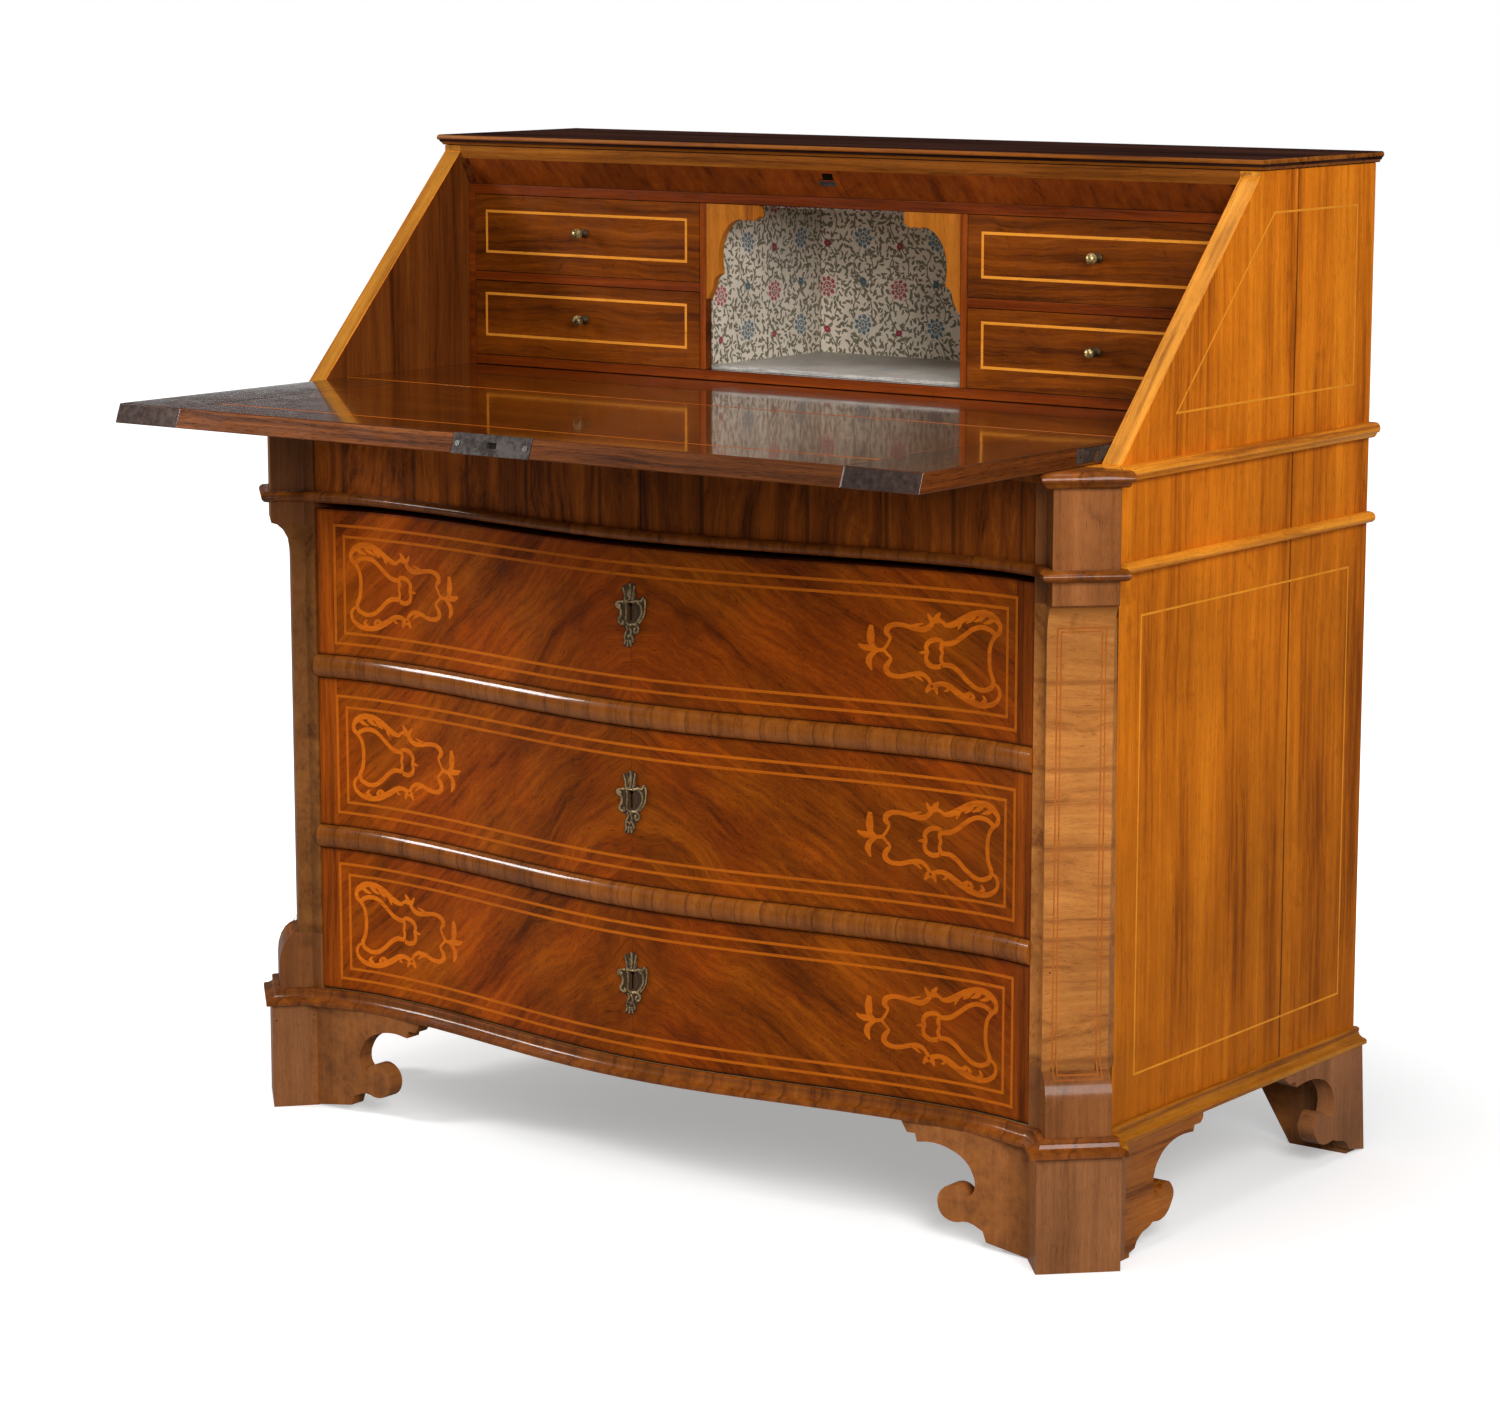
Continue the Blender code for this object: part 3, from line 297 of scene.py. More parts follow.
# Settings that several woods share
stringSet = {"band": 30.0, "veins": 0.0, "patches": 0.3, "stains": 0.2, "bump": 0.1, "contrast": 0.5}
polishedSet = {"seed": 11.0, "band": 16.0, "veins": 0.5, "patches": 0.4, "low": 0.10, "high": 0.22,
    "coat": 0.75, "coatRoughness": 0.05, "bump": 0.1, "specular": 0.2, "contrast": 0.8}
coarseSet = {"pores": 0.7, "bump": 0.6, "relief": 0.0004}
pineSet = {"tones": ((0.36, 0.20, 0.085), (0.27, 0.145, 0.06), (0.14, 0.07, 0.03)), "band": 40.0,
    "low": 0.55, "high": 0.75, "pores": 0.15}
woodLooks = {
    # painted light: the side veneer is lighter higher up
    "sideVeneer": ('Z', {"tones": ((0.58, 0.168, 0.007), (0.46, 0.119, 0.004), (0.24, 0.052, 0.002)),
        "band": 22.0, "veins": 0.40, "patches": 0.5, "holes": 0.9, "low": 0.42, "high": 0.58,
        "contrast": 0.9, "seed": 3.0, "stains": 0.45, "paintedLightUp": (0.25, 0.95, 1.42), "joint": 0.236}),
    "insideBoard": ('Z', {"tones": ((0.20, 0.055, 0.008), (0.13, 0.032, 0.005), (0.05, 0.011, 0.002)),
        "low": 0.30, "high": 0.48, "seed": 8.0, "contrast": 0.8}),
    "galleryWood": ('X', {"tones": ((0.17, 0.038, 0.006), (0.10, 0.021, 0.004), (0.03, 0.007, 0.002)),
        "seed": 1.0}),
    "galleryEdge": ('X', {"tones": ((0.24, 0.044, 0.004), (0.155, 0.025, 0.002), (0.065, 0.010, 0.001)),
        "seed": 2.0, "band": 60.0, "contrast": 0.8}),
    "uprightEdge": ('Z', {"tones": ((0.28, 0.055, 0.004), (0.19, 0.033, 0.002), (0.08, 0.013, 0.001)),
        "seed": 5.0, "band": 60.0, "contrast": 0.8}),
    # painted shade: the left slant edge is darker
    "slantEdge": ('slant', {"tones": ((0.80, 0.33, 0.036), (0.62, 0.235, 0.024), (0.28, 0.085, 0.009)),
        "seed": 6.0, "paintedSideLight": (-0.1, 0.1, 0.62, 1.0), "band": 90.0, "stains": 0.5, "low": 0.28,
        "high": 0.42, "coat": 0.25, "contrast": 0.8}),
    "fallVeneer": ('X', {"tones": ((0.165, 0.041, 0.004), (0.105, 0.024, 0.002), (0.045, 0.009, 0.001)),
        **polishedSet}),
    # painted shade: a darker copy of the fall's veneer, for the writing bed and the gallery floor
    "bedVeneer": ('X', {"tones": ((0.13, 0.030, 0.003), (0.08, 0.017, 0.002), (0.035, 0.007, 0.001)),
        **polishedSet}),
    "fallBatten": ('Y', {"tones": ((0.10, 0.030, 0.008), (0.065, 0.018, 0.005), (0.028, 0.007, 0.002)),
        "seed": 13.0, "low": 0.10, "high": 0.24, "coat": 0.6, "coatRoughness": 0.06, "bump": 0.1,
        "specular": 0.2, "contrast": 0.8}),
    # painted shade: the fall's edge is darker towards its right end
    "fallEdge": ('X', {"tones": ((0.28, 0.080, 0.013), (0.165, 0.043, 0.006), (0.050, 0.012, 0.002)),
        "seed": 4.0, "paintedSideLight": (-0.15, 0.38, 1.0, 0.5), "band": 120.0, "contrast": 1.0, **coarseSet,
        "low": 0.42, "high": 0.62}),
    "battenSide": ('Y', {"tones": ((0.155, 0.038, 0.006), (0.095, 0.022, 0.003), (0.038, 0.009, 0.001)),
        "seed": 41.0, "band": 120.0, **coarseSet, "low": 0.42, "high": 0.62}),
    # painted shade: the batten ends are darker on the right
    "battenEnd": ('Y', {"tones": ((0.10, 0.062, 0.048), (0.065, 0.038, 0.030), (0.030, 0.017, 0.013)),
        "seed": 9.0, "paintedSideLight": (-0.1, 0.1, 1.0, 0.5), "band": 140.0, **coarseSet, "low": 0.45,
        "high": 0.65}),
    "topVeneer": ('X', {"tones": ((0.060, 0.024, 0.016), (0.036, 0.015, 0.011), (0.014, 0.006, 0.005)),
        "seed": 15.0, "band": 14.0, "low": 0.3, "high": 0.5, "specular": 0.0}),
    "topEdge": ('X', {"tones": ((0.36, 0.12, 0.012), (0.24, 0.068, 0.007), (0.09, 0.022, 0.003)),
        "seed": 16.0, "band": 90.0, "contrast": 0.8}),
    "bracketWood": ('Z', {"tones": ((0.48, 0.155, 0.014), (0.38, 0.115, 0.009), (0.22, 0.055, 0.004)),
        "seed": 17.0, "band": 45.0, "veins": 0.15, "low": 0.35, "high": 0.5, "contrast": 0.8}),
    "carcassPine": ('X', {"seed": 19.0, **pineSet}),
    "sidePine": ('Y', {"seed": 20.0, **pineSet}),
    "backPine": ('Z', {"tones": ((0.30, 0.17, 0.08), (0.21, 0.115, 0.052), (0.10, 0.05, 0.025)),
        "seed": 21.0, "band": 30.0, "low": 0.6, "high": 0.8, "pores": 0.15, "stains": 0.5}),
    # near black: painted shade inside the keyholes and the keeper notch
    "sootyWood": ('Y', {"tones": ((0.012, 0.007, 0.004), (0.007, 0.004, 0.002), (0.003, 0.002, 0.001)),
        "seed": 22.0, "low": 0.7, "high": 0.9, "specular": 0.0}),
    # painted light: the inlay and strings are lighter towards the left
    "inlayWood": ('X', {"tones": ((0.62, 0.145, 0.005), (0.53, 0.115, 0.004), (0.38, 0.075, 0.003)),
        "seed": 23.0, "paintedSideLight": (-0.42, 0.05, 1.35, 1.0), "band": 90.0, "veins": 0.05, "patches": 0.3,
        "stains": 0.3, "bump": 0.1, "contrast": 0.6}),
    "stringWood": ('X', {"tones": ((0.56, 0.135, 0.006), (0.48, 0.108, 0.004), (0.36, 0.072, 0.003)),
        "seed": 25.0, "paintedSideLight": (-0.42, 0.05, 1.2, 1.0), **stringSet}),
    "postString": ('Z', {"tones": ((0.46, 0.130, 0.020), (0.38, 0.100, 0.014), (0.28, 0.070, 0.009)),
        "seed": 28.0, "band": 30.0, "veins": 0.0, "bump": 0.1, "contrast": 0.5}),
    "galleryString": ('X', {"tones": ((0.80, 0.32, 0.040), (0.72, 0.26, 0.026), (0.55, 0.17, 0.012)),
        "seed": 29.0, **stringSet}),
    "sideString": ('X', {"tones": ((0.86, 0.33, 0.030), (0.78, 0.28, 0.020), (0.60, 0.19, 0.010)),
        "seed": 27.0, **stringSet}),
}
woods = {name: wood(name, along, look) for name, (along, look) in woodLooks.items()}


# Cross-banded rails, mouldings and frieze: the grain stands across the length on the front,
# and runs along the mouldings on both sides, where their brighter tones are painted light
bandLooks = {
    "railBanding": {"width": 0.030, "front": ((0.34, 0.105, 0.014), (0.26, 0.072, 0.008),
        (0.12, 0.030, 0.004)), "side": ((0.50, 0.16, 0.012), (0.38, 0.105, 0.006), (0.17, 0.040, 0.003)),
        "shade": 0.08, "joints": 0.4, "low": 0.20, "high": 0.34, "coat": 0.45, "coatRoughness": 0.10,
        "contrast": 0.7},
    "friezeVeneer": {"width": 0.085, "front": ((0.30, 0.072, 0.005), (0.18, 0.040, 0.003),
        (0.060, 0.012, 0.001)), "side": ((0.2, 0.05, 0.01), (0.1, 0.02, 0.005), (0.03, 0.006, 0.001)),
        "shade": 0.2, "low": 0.34, "high": 0.50, "contrast": 0.9, "veins": 0.95, "wave": 0.03,
        "paintedLeftLight": 2.0},
    # the side tones are far brighter than the front's: painted light on the side faces
    "mouldingWood": {"width": 0.043, "front": ((0.28, 0.080, 0.010), (0.19, 0.050, 0.006),
        (0.09, 0.021, 0.003)), "side": ((0.92, 0.360, 0.026), (0.76, 0.250, 0.015), (0.38, 0.100, 0.006)),
        "shade": 0.15, "low": 0.24, "high": 0.40, "coat": 0.3, "coatRoughness": 0.12, "contrast": 0.7,
        "joints": 0.4},
    "topBand": {"width": 0.11, "front": ((0.23, 0.048, 0.004), (0.16, 0.030, 0.003),
        (0.075, 0.013, 0.002)), "side": ((0.2, 0.05, 0.01), (0.1, 0.02, 0.005), (0.03, 0.006, 0.001)),
        "low": 0.30, "high": 0.46, "lean": 0.35, "shade": 0.15, "contrast": 0.7, "veins": 0.2,
        "joints": 0.0},
}
# Where the side faces and their painted light begin, where the painted light on the left ends, and the
# heights between which the base moulding turns browner, with its gains
bandPlace = {"out": 0.50, "behind": -0.122, "lift": (-0.45, 0.1), "base": (0.125, 0.165, 0.5, 1.0)}
for name, look in bandLooks.items():
    material, g, where = newMaterial(name)
    x, y, z = g.split(where)[:3]
    sideways = g.times(g.math('GREATER_THAN', g.absolute(x), bandPlace["out"]),
        g.math('GREATER_THAN', y, bandPlace["behind"]))
    leaned = g.plus(x, g.times(z, look.get("lean", 0.0)))
    cut = g.use(strips, Along=leaned, Width=look["width"], Seed=3.7)
    front = grain(g, g.join(leaned, y, g.plus(z, cut["Offset"])), look["front"], Band=55.0,
        Contrast=look["contrast"], Veins=look.get("veins", 0.4), Wave=look.get("wave", 0.006))
    colour = g.scaled(front["Color"], g.between(cut["Shade"], 1.0 - look["shade"], 1.0 + look["shade"]))
    colour = g.blend(g.times(cut["Joint"], look.get("joints", 0.6)), colour, (0.02, 0.007, 0.002))
    side = grain(g, turnGrain(g, where, 'Y'), look["side"], Band=90.0)
    low = g.fade(z, *bandPlace["base"])
    colour = g.blend(sideways, colour, g.scaled(side["Color"], low))
    # painted light: the frieze is lighter towards the left
    if "paintedLeftLight" in look:
        lift = g.fade(x, *bandPlace["lift"], look["paintedLeftLight"], 1.0)
        colour = g.scaled(colour, lift)
    worn = g.use(aged, Vector=where, Color=colour, Patches=0.5, Stain=look["side"][2], Stains=0.5,
        Holes=0.4, Low=look["low"], High=look["high"])
    woods[name] = polish(material, g, worn, front["Height"], look)


# Corner posts and feet: mottled blocks, and a shaft whose veneer runs across, with dark cracks; the left
# shaft gets painted shade
postLook = {"block": ((0.32, 0.112, 0.030), (0.24, 0.080, 0.020), (0.13, 0.040, 0.010)),
    "foot": ((0.38, 0.150, 0.052), (0.28, 0.106, 0.036), (0.16, 0.056, 0.018)),
    "bracket": ((0.46, 0.145, 0.020), (0.34, 0.100, 0.012), (0.15, 0.038, 0.004)),
    "shaft": ((0.52, 0.20, 0.042), (0.41, 0.145, 0.028), (0.21, 0.062, 0.012)), "shaftLow": 0.197,
    "shaftHigh": 0.655, "leaf": 0.088, "paintedShadeLeft": 0.56, "beside": (-0.092, 0.15), "before": (0.478, 0.45),
    "crack": (0.03, 0.012, 0.004), "coat": 0.2, "coatRoughness": 0.14, "bump": 0.3}


def mottled(name, shaft):
    material, g, where = newMaterial(name)
    x, y, z = g.split(where)[:3]
    across = g.plus(g.absolute(x), y)        # runs along the canted face
    through = g.minus(g.absolute(x), y)
    block = grain(g, g.join(across, through, z), postLook["block" if shaft else "foot"], Band=24.0,
        Seed=31.0, Wave=0.012, Veins=0.2, Contrast=0.62)
    colour = block["Color"]
    if not shaft:                   # the brackets beside the canted blocks are redder
        bracket = grain(g, turnGrain(g, where, 'Y'), postLook["bracket"], Band=40.0, Seed=35.0, Veins=0.5)
        near, far = postLook["beside"]
        beside = g.times(g.math('GREATER_THAN', y, near), g.math('LESS_THAN', y, far))
        inner, part = postLook["before"]
        before = g.times(g.math('LESS_THAN', g.absolute(x), inner), part)
        colour = g.blend(g.math('MAXIMUM', beside, before), colour, bracket["Color"])
    if shaft:
        leaf = g.use(strips, Along=z, Width=postLook["leaf"], Seed=2.4)
        veneer = grain(g, g.join(z, through, g.plus(across, leaf["Offset"])), postLook["shaft"], Band=30.0,
            Seed=33.0, Wave=0.016, Veins=0.25, Contrast=0.85)
        inShaft = g.times(g.fade(z, postLook["shaftLow"] - 0.001, postLook["shaftLow"]),
            g.fade(z, postLook["shaftHigh"], postLook["shaftHigh"] + 0.001, 1.0, 0.0))
        # painted shade: the shaft is darker on the left
        dim = g.times(g.between(leaf["Shade"], 0.78, 1.12), g.between(g.math('LESS_THAN', x, 0.0), 1.0,
            postLook["paintedShadeLeft"]))
        laid = g.blend(g.times(leaf["Joint"], 0.5), g.scaled(veneer["Color"], dim), postLook["shaft"][2])
        colour = g.blend(inShaft, colour, laid)
        cracks = g.fade(g.noise(g.join(g.times(across, 9.0), g.times(through, 9.0), g.times(z, 160.0)),
            1.0, 3.0, 0.6), 0.72, 0.76)
        colour = g.blend(g.times(cracks, inShaft), colour, postLook["crack"])
    worn = g.use(aged, Vector=where, Color=colour, Patches=0.6, Stain=(0.10, 0.032, 0.008), Stains=0.55,
        Holes=0.9, Low=0.26, High=0.44)
    return polish(material, g, worn, block["Height"], postLook)


woods["postVeneer"] = mottled("postVeneer", True)
woods["footWood"] = mottled("footWood", False)

# Long drawer fronts: veneer matched in pairs about the middle, rising towards it, with a dark
# swirl round the escutcheon, and straight strips outside the stringing
drawerLook = {"tones": ((0.34, 0.068, 0.002), (0.21, 0.038, 0.001), (0.085, 0.015, 0.001)),
    "ends": ((0.34, 0.070, 0.003), (0.225, 0.042, 0.002), (0.085, 0.016, 0.001)),
    "seam": (0.03, 0.007, 0.001), "rim": (0.03, 0.008, 0.002), "slope": math.radians(35),
    "borderEnd": 0.4455, "paintedLeftLight": 1.45, "bump": 0.2}
drawerBoxes = {number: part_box("drawer_%d_front" % number) for number in numbers}


def drawerVeneer(number):
    low, high = drawerBoxes[number]
    look = drawerLook
    material, g, where = newMaterial("drawerVeneer%d" % number)
    x, y, z = g.split(where)[:3]
    out = g.absolute(x)
    up = g.minus(z, (low.z + high.z) / 2)
    shift = g.join(number * 3.1, number * 1.7, number * 0.9)
    swirl = g.noise(g.vector('ADD', g.join(out, 0.0, up), shift), 6.5, 3.0, 0.5)
    swirl2 = g.noise(g.vector('ADD', g.join(out, 0.3, up), shift), 17.0, 3.0, 0.55)
    near = g.fade(out, 0.03, 0.24, 1.0, 0.0)
    bend = g.plus(g.times(g.minus(swirl, 0.5), g.between(near, 0.025, 0.085)),
        g.times(g.minus(swirl2, 0.5), g.between(near, 0.004, 0.026)))
    slope = g.minus(look["slope"], g.times(g.math('SIGN', x), 0.10))
    sine, cosine = g.math('SINE', slope), g.math('COSINE', slope)
    across = g.plus(g.plus(g.times(out, sine), g.times(up, cosine)), bend)
    along = g.minus(g.times(out, cosine), g.times(up, sine))
    field = grain(g, g.join(across, y, along), look["tones"], Seed=number * 2.3, Band=24.0, Wave=0.005,
        Contrast=0.85, Veins=0.65, Pores=0.6)
    colour = field["Color"]
    cloud = g.noise(g.vector('ADD', g.join(x, 0.7, up), shift), 8.0, 4.0, 0.6)
    tint = g.blend(g.fade(cloud, 0.38, 0.62), (1.07, 0.97, 0.9), (0.95, 1.04, 0.9))
    colour = g.blend(1.0, colour, tint, 'MULTIPLY')
    smoke = g.times(g.fade(swirl2, 0.50, 0.68), near)
    colour = g.blend(g.times(smoke, 0.55), colour, look["tones"][2])
    ends = grain(g, where, look["ends"], Seed=number * 1.9, Band=60.0, Veins=0.4)
    atEnd = g.math('GREATER_THAN', out, look["borderEnd"])
    colour = g.blend(atEnd, colour, ends["Color"])
    seam = g.fade(g.absolute(g.plus(x, g.times(swirl2, 0.0006))), 0.0002, 0.0006, 0.5, 0.0)
    colour = g.blend(seam, colour, look["seam"])
    # painted light: the veneer is lighter towards the left
    lift = g.fade(x, -0.42, 0.05, look["paintedLeftLight"], 1.0)
    colour = g.scaled(colour, lift)
    rim = g.fade(g.minus((high.z - low.z) / 2, g.absolute(up)), 0.0005, 0.004, 0.45, 0.0)
    colour = g.blend(rim, colour, look["rim"])
    worn = g.use(aged, Vector=where, Color=colour, Patches=0.5, Stain=(0.055, 0.012, 0.001), Stains=0.4,
        Holes=0.5, Low=0.30, High=0.46)
    return polish(material, g, worn, field["Height"], look)


for number in numbers:
    woods["drawerVeneer%d" % number] = drawerVeneer(number)

# Small drawer fronts: figured, streaked with near-black, grain along X, waving
smallLook = {"tones": ((0.25, 0.058, 0.004), (0.150, 0.032, 0.002), (0.055, 0.012, 0.002)), "coat": 0.06,
    "coatRoughness": 0.12, "bump": 0.25}
material, g, where = newMaterial("smallDrawerVeneer")
x, y, z = g.split(where)[:3]
ripple = g.times(g.minus(g.noise(where, 9.0, 3.0, 0.5), 0.5), 0.028)
figure = grain(g, g.join(g.plus(z, ripple), y, x), smallLook["tones"], Seed=12.0, Band=60.0, Contrast=0.85,
    Veins=0.4)
worn = g.use(aged, Vector=where, Color=figure["Color"], Patches=0.7, Stain=(0.02, 0.005, 0.001),
    Stains=0.6, Holes=0.3, Low=0.24, High=0.42)
woods["smallDrawerVeneer"] = polish(material, g, worn, figure["Height"], smallLook)
print("woods ready:", len(woods))

# Metals: dull in the hollows, bright on what stands proud
metalLooks = {
    "agedBrass": {"metal": 0.6, "bright": (0.60, 0.42, 0.20), "dull": (0.070, 0.037, 0.015), "low": 0.24,
        "high": 0.55, "scale": 420.0, "worn": "relief"},
    "knobBrass": {"metal": 0.6, "bright": (0.66, 0.49, 0.20), "dull": (0.050, 0.030, 0.012), "low": 0.22,
        "high": 0.50, "scale": 300.0, "ball": 0.1628},
    "darkIron": {"bright": (0.085, 0.068, 0.060), "dull": (0.035, 0.026, 0.022), "low": 0.50, "high": 0.70,
        "scale": 220.0, "metal": 0.35, "specular": 0.15},
    "screwIron": {"bright": (0.30, 0.29, 0.27), "dull": (0.10, 0.095, 0.09), "low": 0.25, "high": 0.5,
        "scale": 500.0},
}
metals = {}
for name, look in metalLooks.items():
    material, g, where = newMaterial(name)
    spots = g.noise(where, look["scale"], 5.0, 0.65)
    clouds = g.noise(where, look["scale"] * 0.18, 4.0, 0.6)
    mask = g.fade(g.plus(g.times(spots, 0.5), g.times(clouds, 0.5)), 0.40, 0.60)
    if "worn" in look:
        proud = g.fade(g.add('ShaderNodeAttribute', attribute_name=look["worn"]).outputs['Fac'], 0.45, 0.95)
        mask = g.times(proud, g.plus(0.15, g.times(mask, 0.85)))
    # behind the ball the brass turns dull: painted shade on the neck and rose
    if "ball" in look:              # only the ball is bright, in front of this y
        mask = g.times(mask, g.fade(g.split(where)[1], look["ball"] - 0.001, look["ball"], 1.0, 0.0))
    colour = g.blend(mask, look["dull"], look["bright"])
    metals[name] = setSurface(material, g, spots, 0.0003, 0.35, {"Base Color": colour,
        "Roughness": g.between(mask, look["high"], look["low"]), "Metallic": look.get("metal", 1.0),
        "Specular IOR Level": look.get("specular", 0.5)})
print("metals ready")


# Pieces from the solids
def finishPiece(piece, body, slot, *nodes):
    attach(piece, body)
    if nodes:
        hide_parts(*nodes)
    return piece


def newPiece(name, mesh, materials):
    piece = bpy.data.objects.new(name, mesh)
    scene.collection.objects.link(piece)
    for material in materials:
        mesh.materials.append(material)
    return piece


def shadeByAngle(piece, degrees=40):
    for face in piece.data.polygons:
        face.use_smooth = True
    piece.data.set_sharp_from_angle(angle=math.radians(degrees))
    weighted = piece.modifiers.new("evenShading", 'WEIGHTED_NORMAL')
    weighted.keep_sharp = True


def bodyOf(node):
    return next(body for body, names in frame["record"]["behaviour"]["bodies"].items() if node in names)


def slotOf(node):
    return next(part["material_slot"] for part in frame["record"]["subparts"] if part["node"] == node)


def mergedSolid(node):
    shape = bmesh.new()
    shape.from_mesh(frame["nodes"][node].data)
    bmesh.ops.remove_doubles(shape, verts=shape.verts, dist=0.00001)
    return shape


def finishedMesh(shape, name):
    mesh = bpy.data.meshes.new(name)
    shape.to_mesh(mesh)
    shape.free()
    return mesh


def easedCopy(node, materials, pick=None, ease=0.0007, sharp=32, shortest=0.012):
    # A merged copy of a solid with its long arrises eased; pick(face) gives the material's place
    shape = mergedSolid(node)
    bmesh.ops.dissolve_limit(shape, angle_limit=math.radians(0.4), verts=shape.verts, edges=shape.edges)
    for face in shape.faces:
        face.material_index = pick(face.normal, face.calc_center_median()) if pick else 0
    if ease:
        arrises = [edge for edge in shape.edges if len(edge.link_faces) == 2
            and edge.calc_length() > shortest and edge.calc_face_angle(0) > math.radians(sharp)]
        bmesh.ops.bevel(shape, geom=arrises, offset=ease, offset_type='OFFSET', segments=2, profile=0.5,
            affect='EDGES', clamp_overlap=True, miter_outer='SHARP')
    piece = newPiece(node + "_eased", finishedMesh(shape, node + "_eased"), materials)
    shadeByAngle(piece)
    return finishPiece(piece, bodyOf(node), slotOf(node), node)


def dress(node, material):
    for slot in frame["nodes"][node].material_slots:
        slot.material = material


for node in ("bottom_board", "dust_board_top"):
    dress(node, woods["carcassPine"])
dress("back_panel", woods["backPine"])
for node in ["fall_lock", "fall_bolt", "fall_hinge_left", "fall_hinge_right"]:
    dress(node, metals["darkIron"])
for number in numbers:
    dress("drawer_%d_lock" % number, metals["darkIron"])
    dress("drawer_%d_bolt" % number, metals["darkIron"])


def frontEdge(normal, centre):
    # 1 on faces turned to the front, 0 elsewhere
    return 1 if normal.y < -0.9 else 0


def fallPick(edge):
    # 0 the broad faces, 1 and 2 the edges; the last is given for faces turned along this axis
    return lambda normal, centre: 0 if abs(normal.z) > 0.9 else (2 if abs(normal[edge]) > 0.5 else 1)


for side, sign in sides:
    def sidePick(normal, centre):
        # 0 outer face, 1 inner face, 2 the slanted and other edges
        if normal.x * sign > 0.9:
            return 0
        return 1 if normal.x * sign < -0.9 else 2
    easedCopy("side_" + side, [woods["sideVeneer"], woods["insideBoard"], woods["slantEdge"]], sidePick,
        0.0007)
    easedCopy("corner_post_" + side, [woods["postVeneer"]], None, 0.0012)
    easedCopy("foot_front_" + side, [woods["footWood"]], None, 0.0012, 40, 0.003)
    easedCopy("foot_rear_" + side, [woods["footWood"]], None, 0.0012, 40, 0.003)
    easedCopy("gallery_divider_" + side, [woods["galleryWood"], woods["uprightEdge"]], frontEdge)
    easedCopy("gallery_shelf_" + side, [woods["galleryWood"], woods["galleryEdge"]], frontEdge)
    easedCopy("scalloped_bracket_" + side, [woods["bracketWood"]], None, 0.0005, 40, 0.003)
    easedCopy("fall_batten_" + side, [woods["fallBatten"], woods["battenSide"], woods["battenEnd"]],
        fallPick(1), 0.0010)

# Where the looks change: the top rail's strip begins at this z, the rails' dust boards and the
# small drawers' trays behind these y, and the keyholes lie within this x
boardPlace = {"topStrip": 1.043, "dustBoard": -0.10, "tray": 0.182, "keyhole": 0.0075}
easedCopy("fall_panel", [woods["fallVeneer"], woods["fallEdge"], woods["battenSide"]], fallPick(0), 0.0010)
easedCopy("top_board", [woods["topVeneer"], woods["topEdge"]], lambda normal,
    centre: 0 if abs(normal.z) > 0.9 else 1, 0.0008)
easedCopy("top_rail", [woods["topBand"], woods["topEdge"]], lambda normal,
    centre: 1 if centre.z > boardPlace["topStrip"] and normal.y < -0.9 else 0, 0.0006)
easedCopy("writing_bed", [woods["bedVeneer"]], None, 0.0004)
easedCopy("front_ledge", [woods["mouldingWood"]], None, 0.0004)
easedCopy("gallery_floor", [woods["bedVeneer"], woods["galleryEdge"]], frontEdge)
easedCopy("gallery_frame", [woods["galleryWood"], woods["galleryEdge"]], frontEdge)
easedCopy("frieze_rail", [woods["friezeVeneer"]], None, 0.0005)
for node in ("upper_moulding", "lower_moulding", "base_moulding"):
    easedCopy(node, [woods["mouldingWood"]], None, 0)
for node in ("drawer_rail_1", "drawer_rail_2"):
    easedCopy(node, [woods["railBanding"], woods["carcassPine"]], lambda normal,
        centre: 1 if centre.y > boardPlace["dustBoard"] else 0, 0)


def frontPick(normal, centre):
    # 0 the veneer, 1 the pine behind it, 2 the walls of the keyhole, in painted shade
    if abs(centre.x) < boardPlace["keyhole"] and abs(normal.y) < 0.5 and abs(normal.z) < 0.999:
        return 2
    return 1 if normal.y > 0.3 else 0


for number in numbers:
    easedCopy("drawer_%d_front" % number, [woods["drawerVeneer%d" % number], woods["carcassPine"],
        woods["sootyWood"]], frontPick, 0.0012)
    easedCopy("drawer_%d_box" % number, [woods["carcassPine"], woods["sidePine"]], lambda normal,
        centre: 1 if abs(normal.x) > 0.5 else 0, 0)
for place in smallDrawers:
    easedCopy("small_drawer_" + place, [woods["smallDrawerVeneer"], woods["carcassPine"],
        woods["sidePine"]], lambda normal, centre: 0 if centre.y < boardPlace["tray"] else (2
        if abs(normal.x) > 0.5 else 1), 0.0010)
print("boards ready")

def nodeTool(name, inputs):
    # A geometry node tree with named inputs; inputs are (name, kind, value)
    tree = bpy.data.node_groups.new(name, 'GeometryNodeTree')
    for title, kind, value in [("Geometry", 'Geometry', None)] + inputs:
        socket = tree.interface.new_socket(title, in_out='INPUT', socket_type='NodeSocket' + kind)
        if value is not None:
            socket.default_value = value
    tree.interface.new_socket("Geometry", in_out='OUTPUT', socket_type='NodeSocketGeometry')
    graph = Graph(tree)
    return tree, graph, graph.add('NodeGroupInput').outputs, graph.add('NodeGroupOutput')


def endTool(tree, g, made, put, end):
    real = g.add('GeometryNodeRealizeInstances', {'Geometry': made}).outputs[0]
    coated = g.add('GeometryNodeSetMaterial', {'Geometry': real, 'Material': put["Material"]}).outputs[0]
    tree.links.new(coated, end.inputs[0])


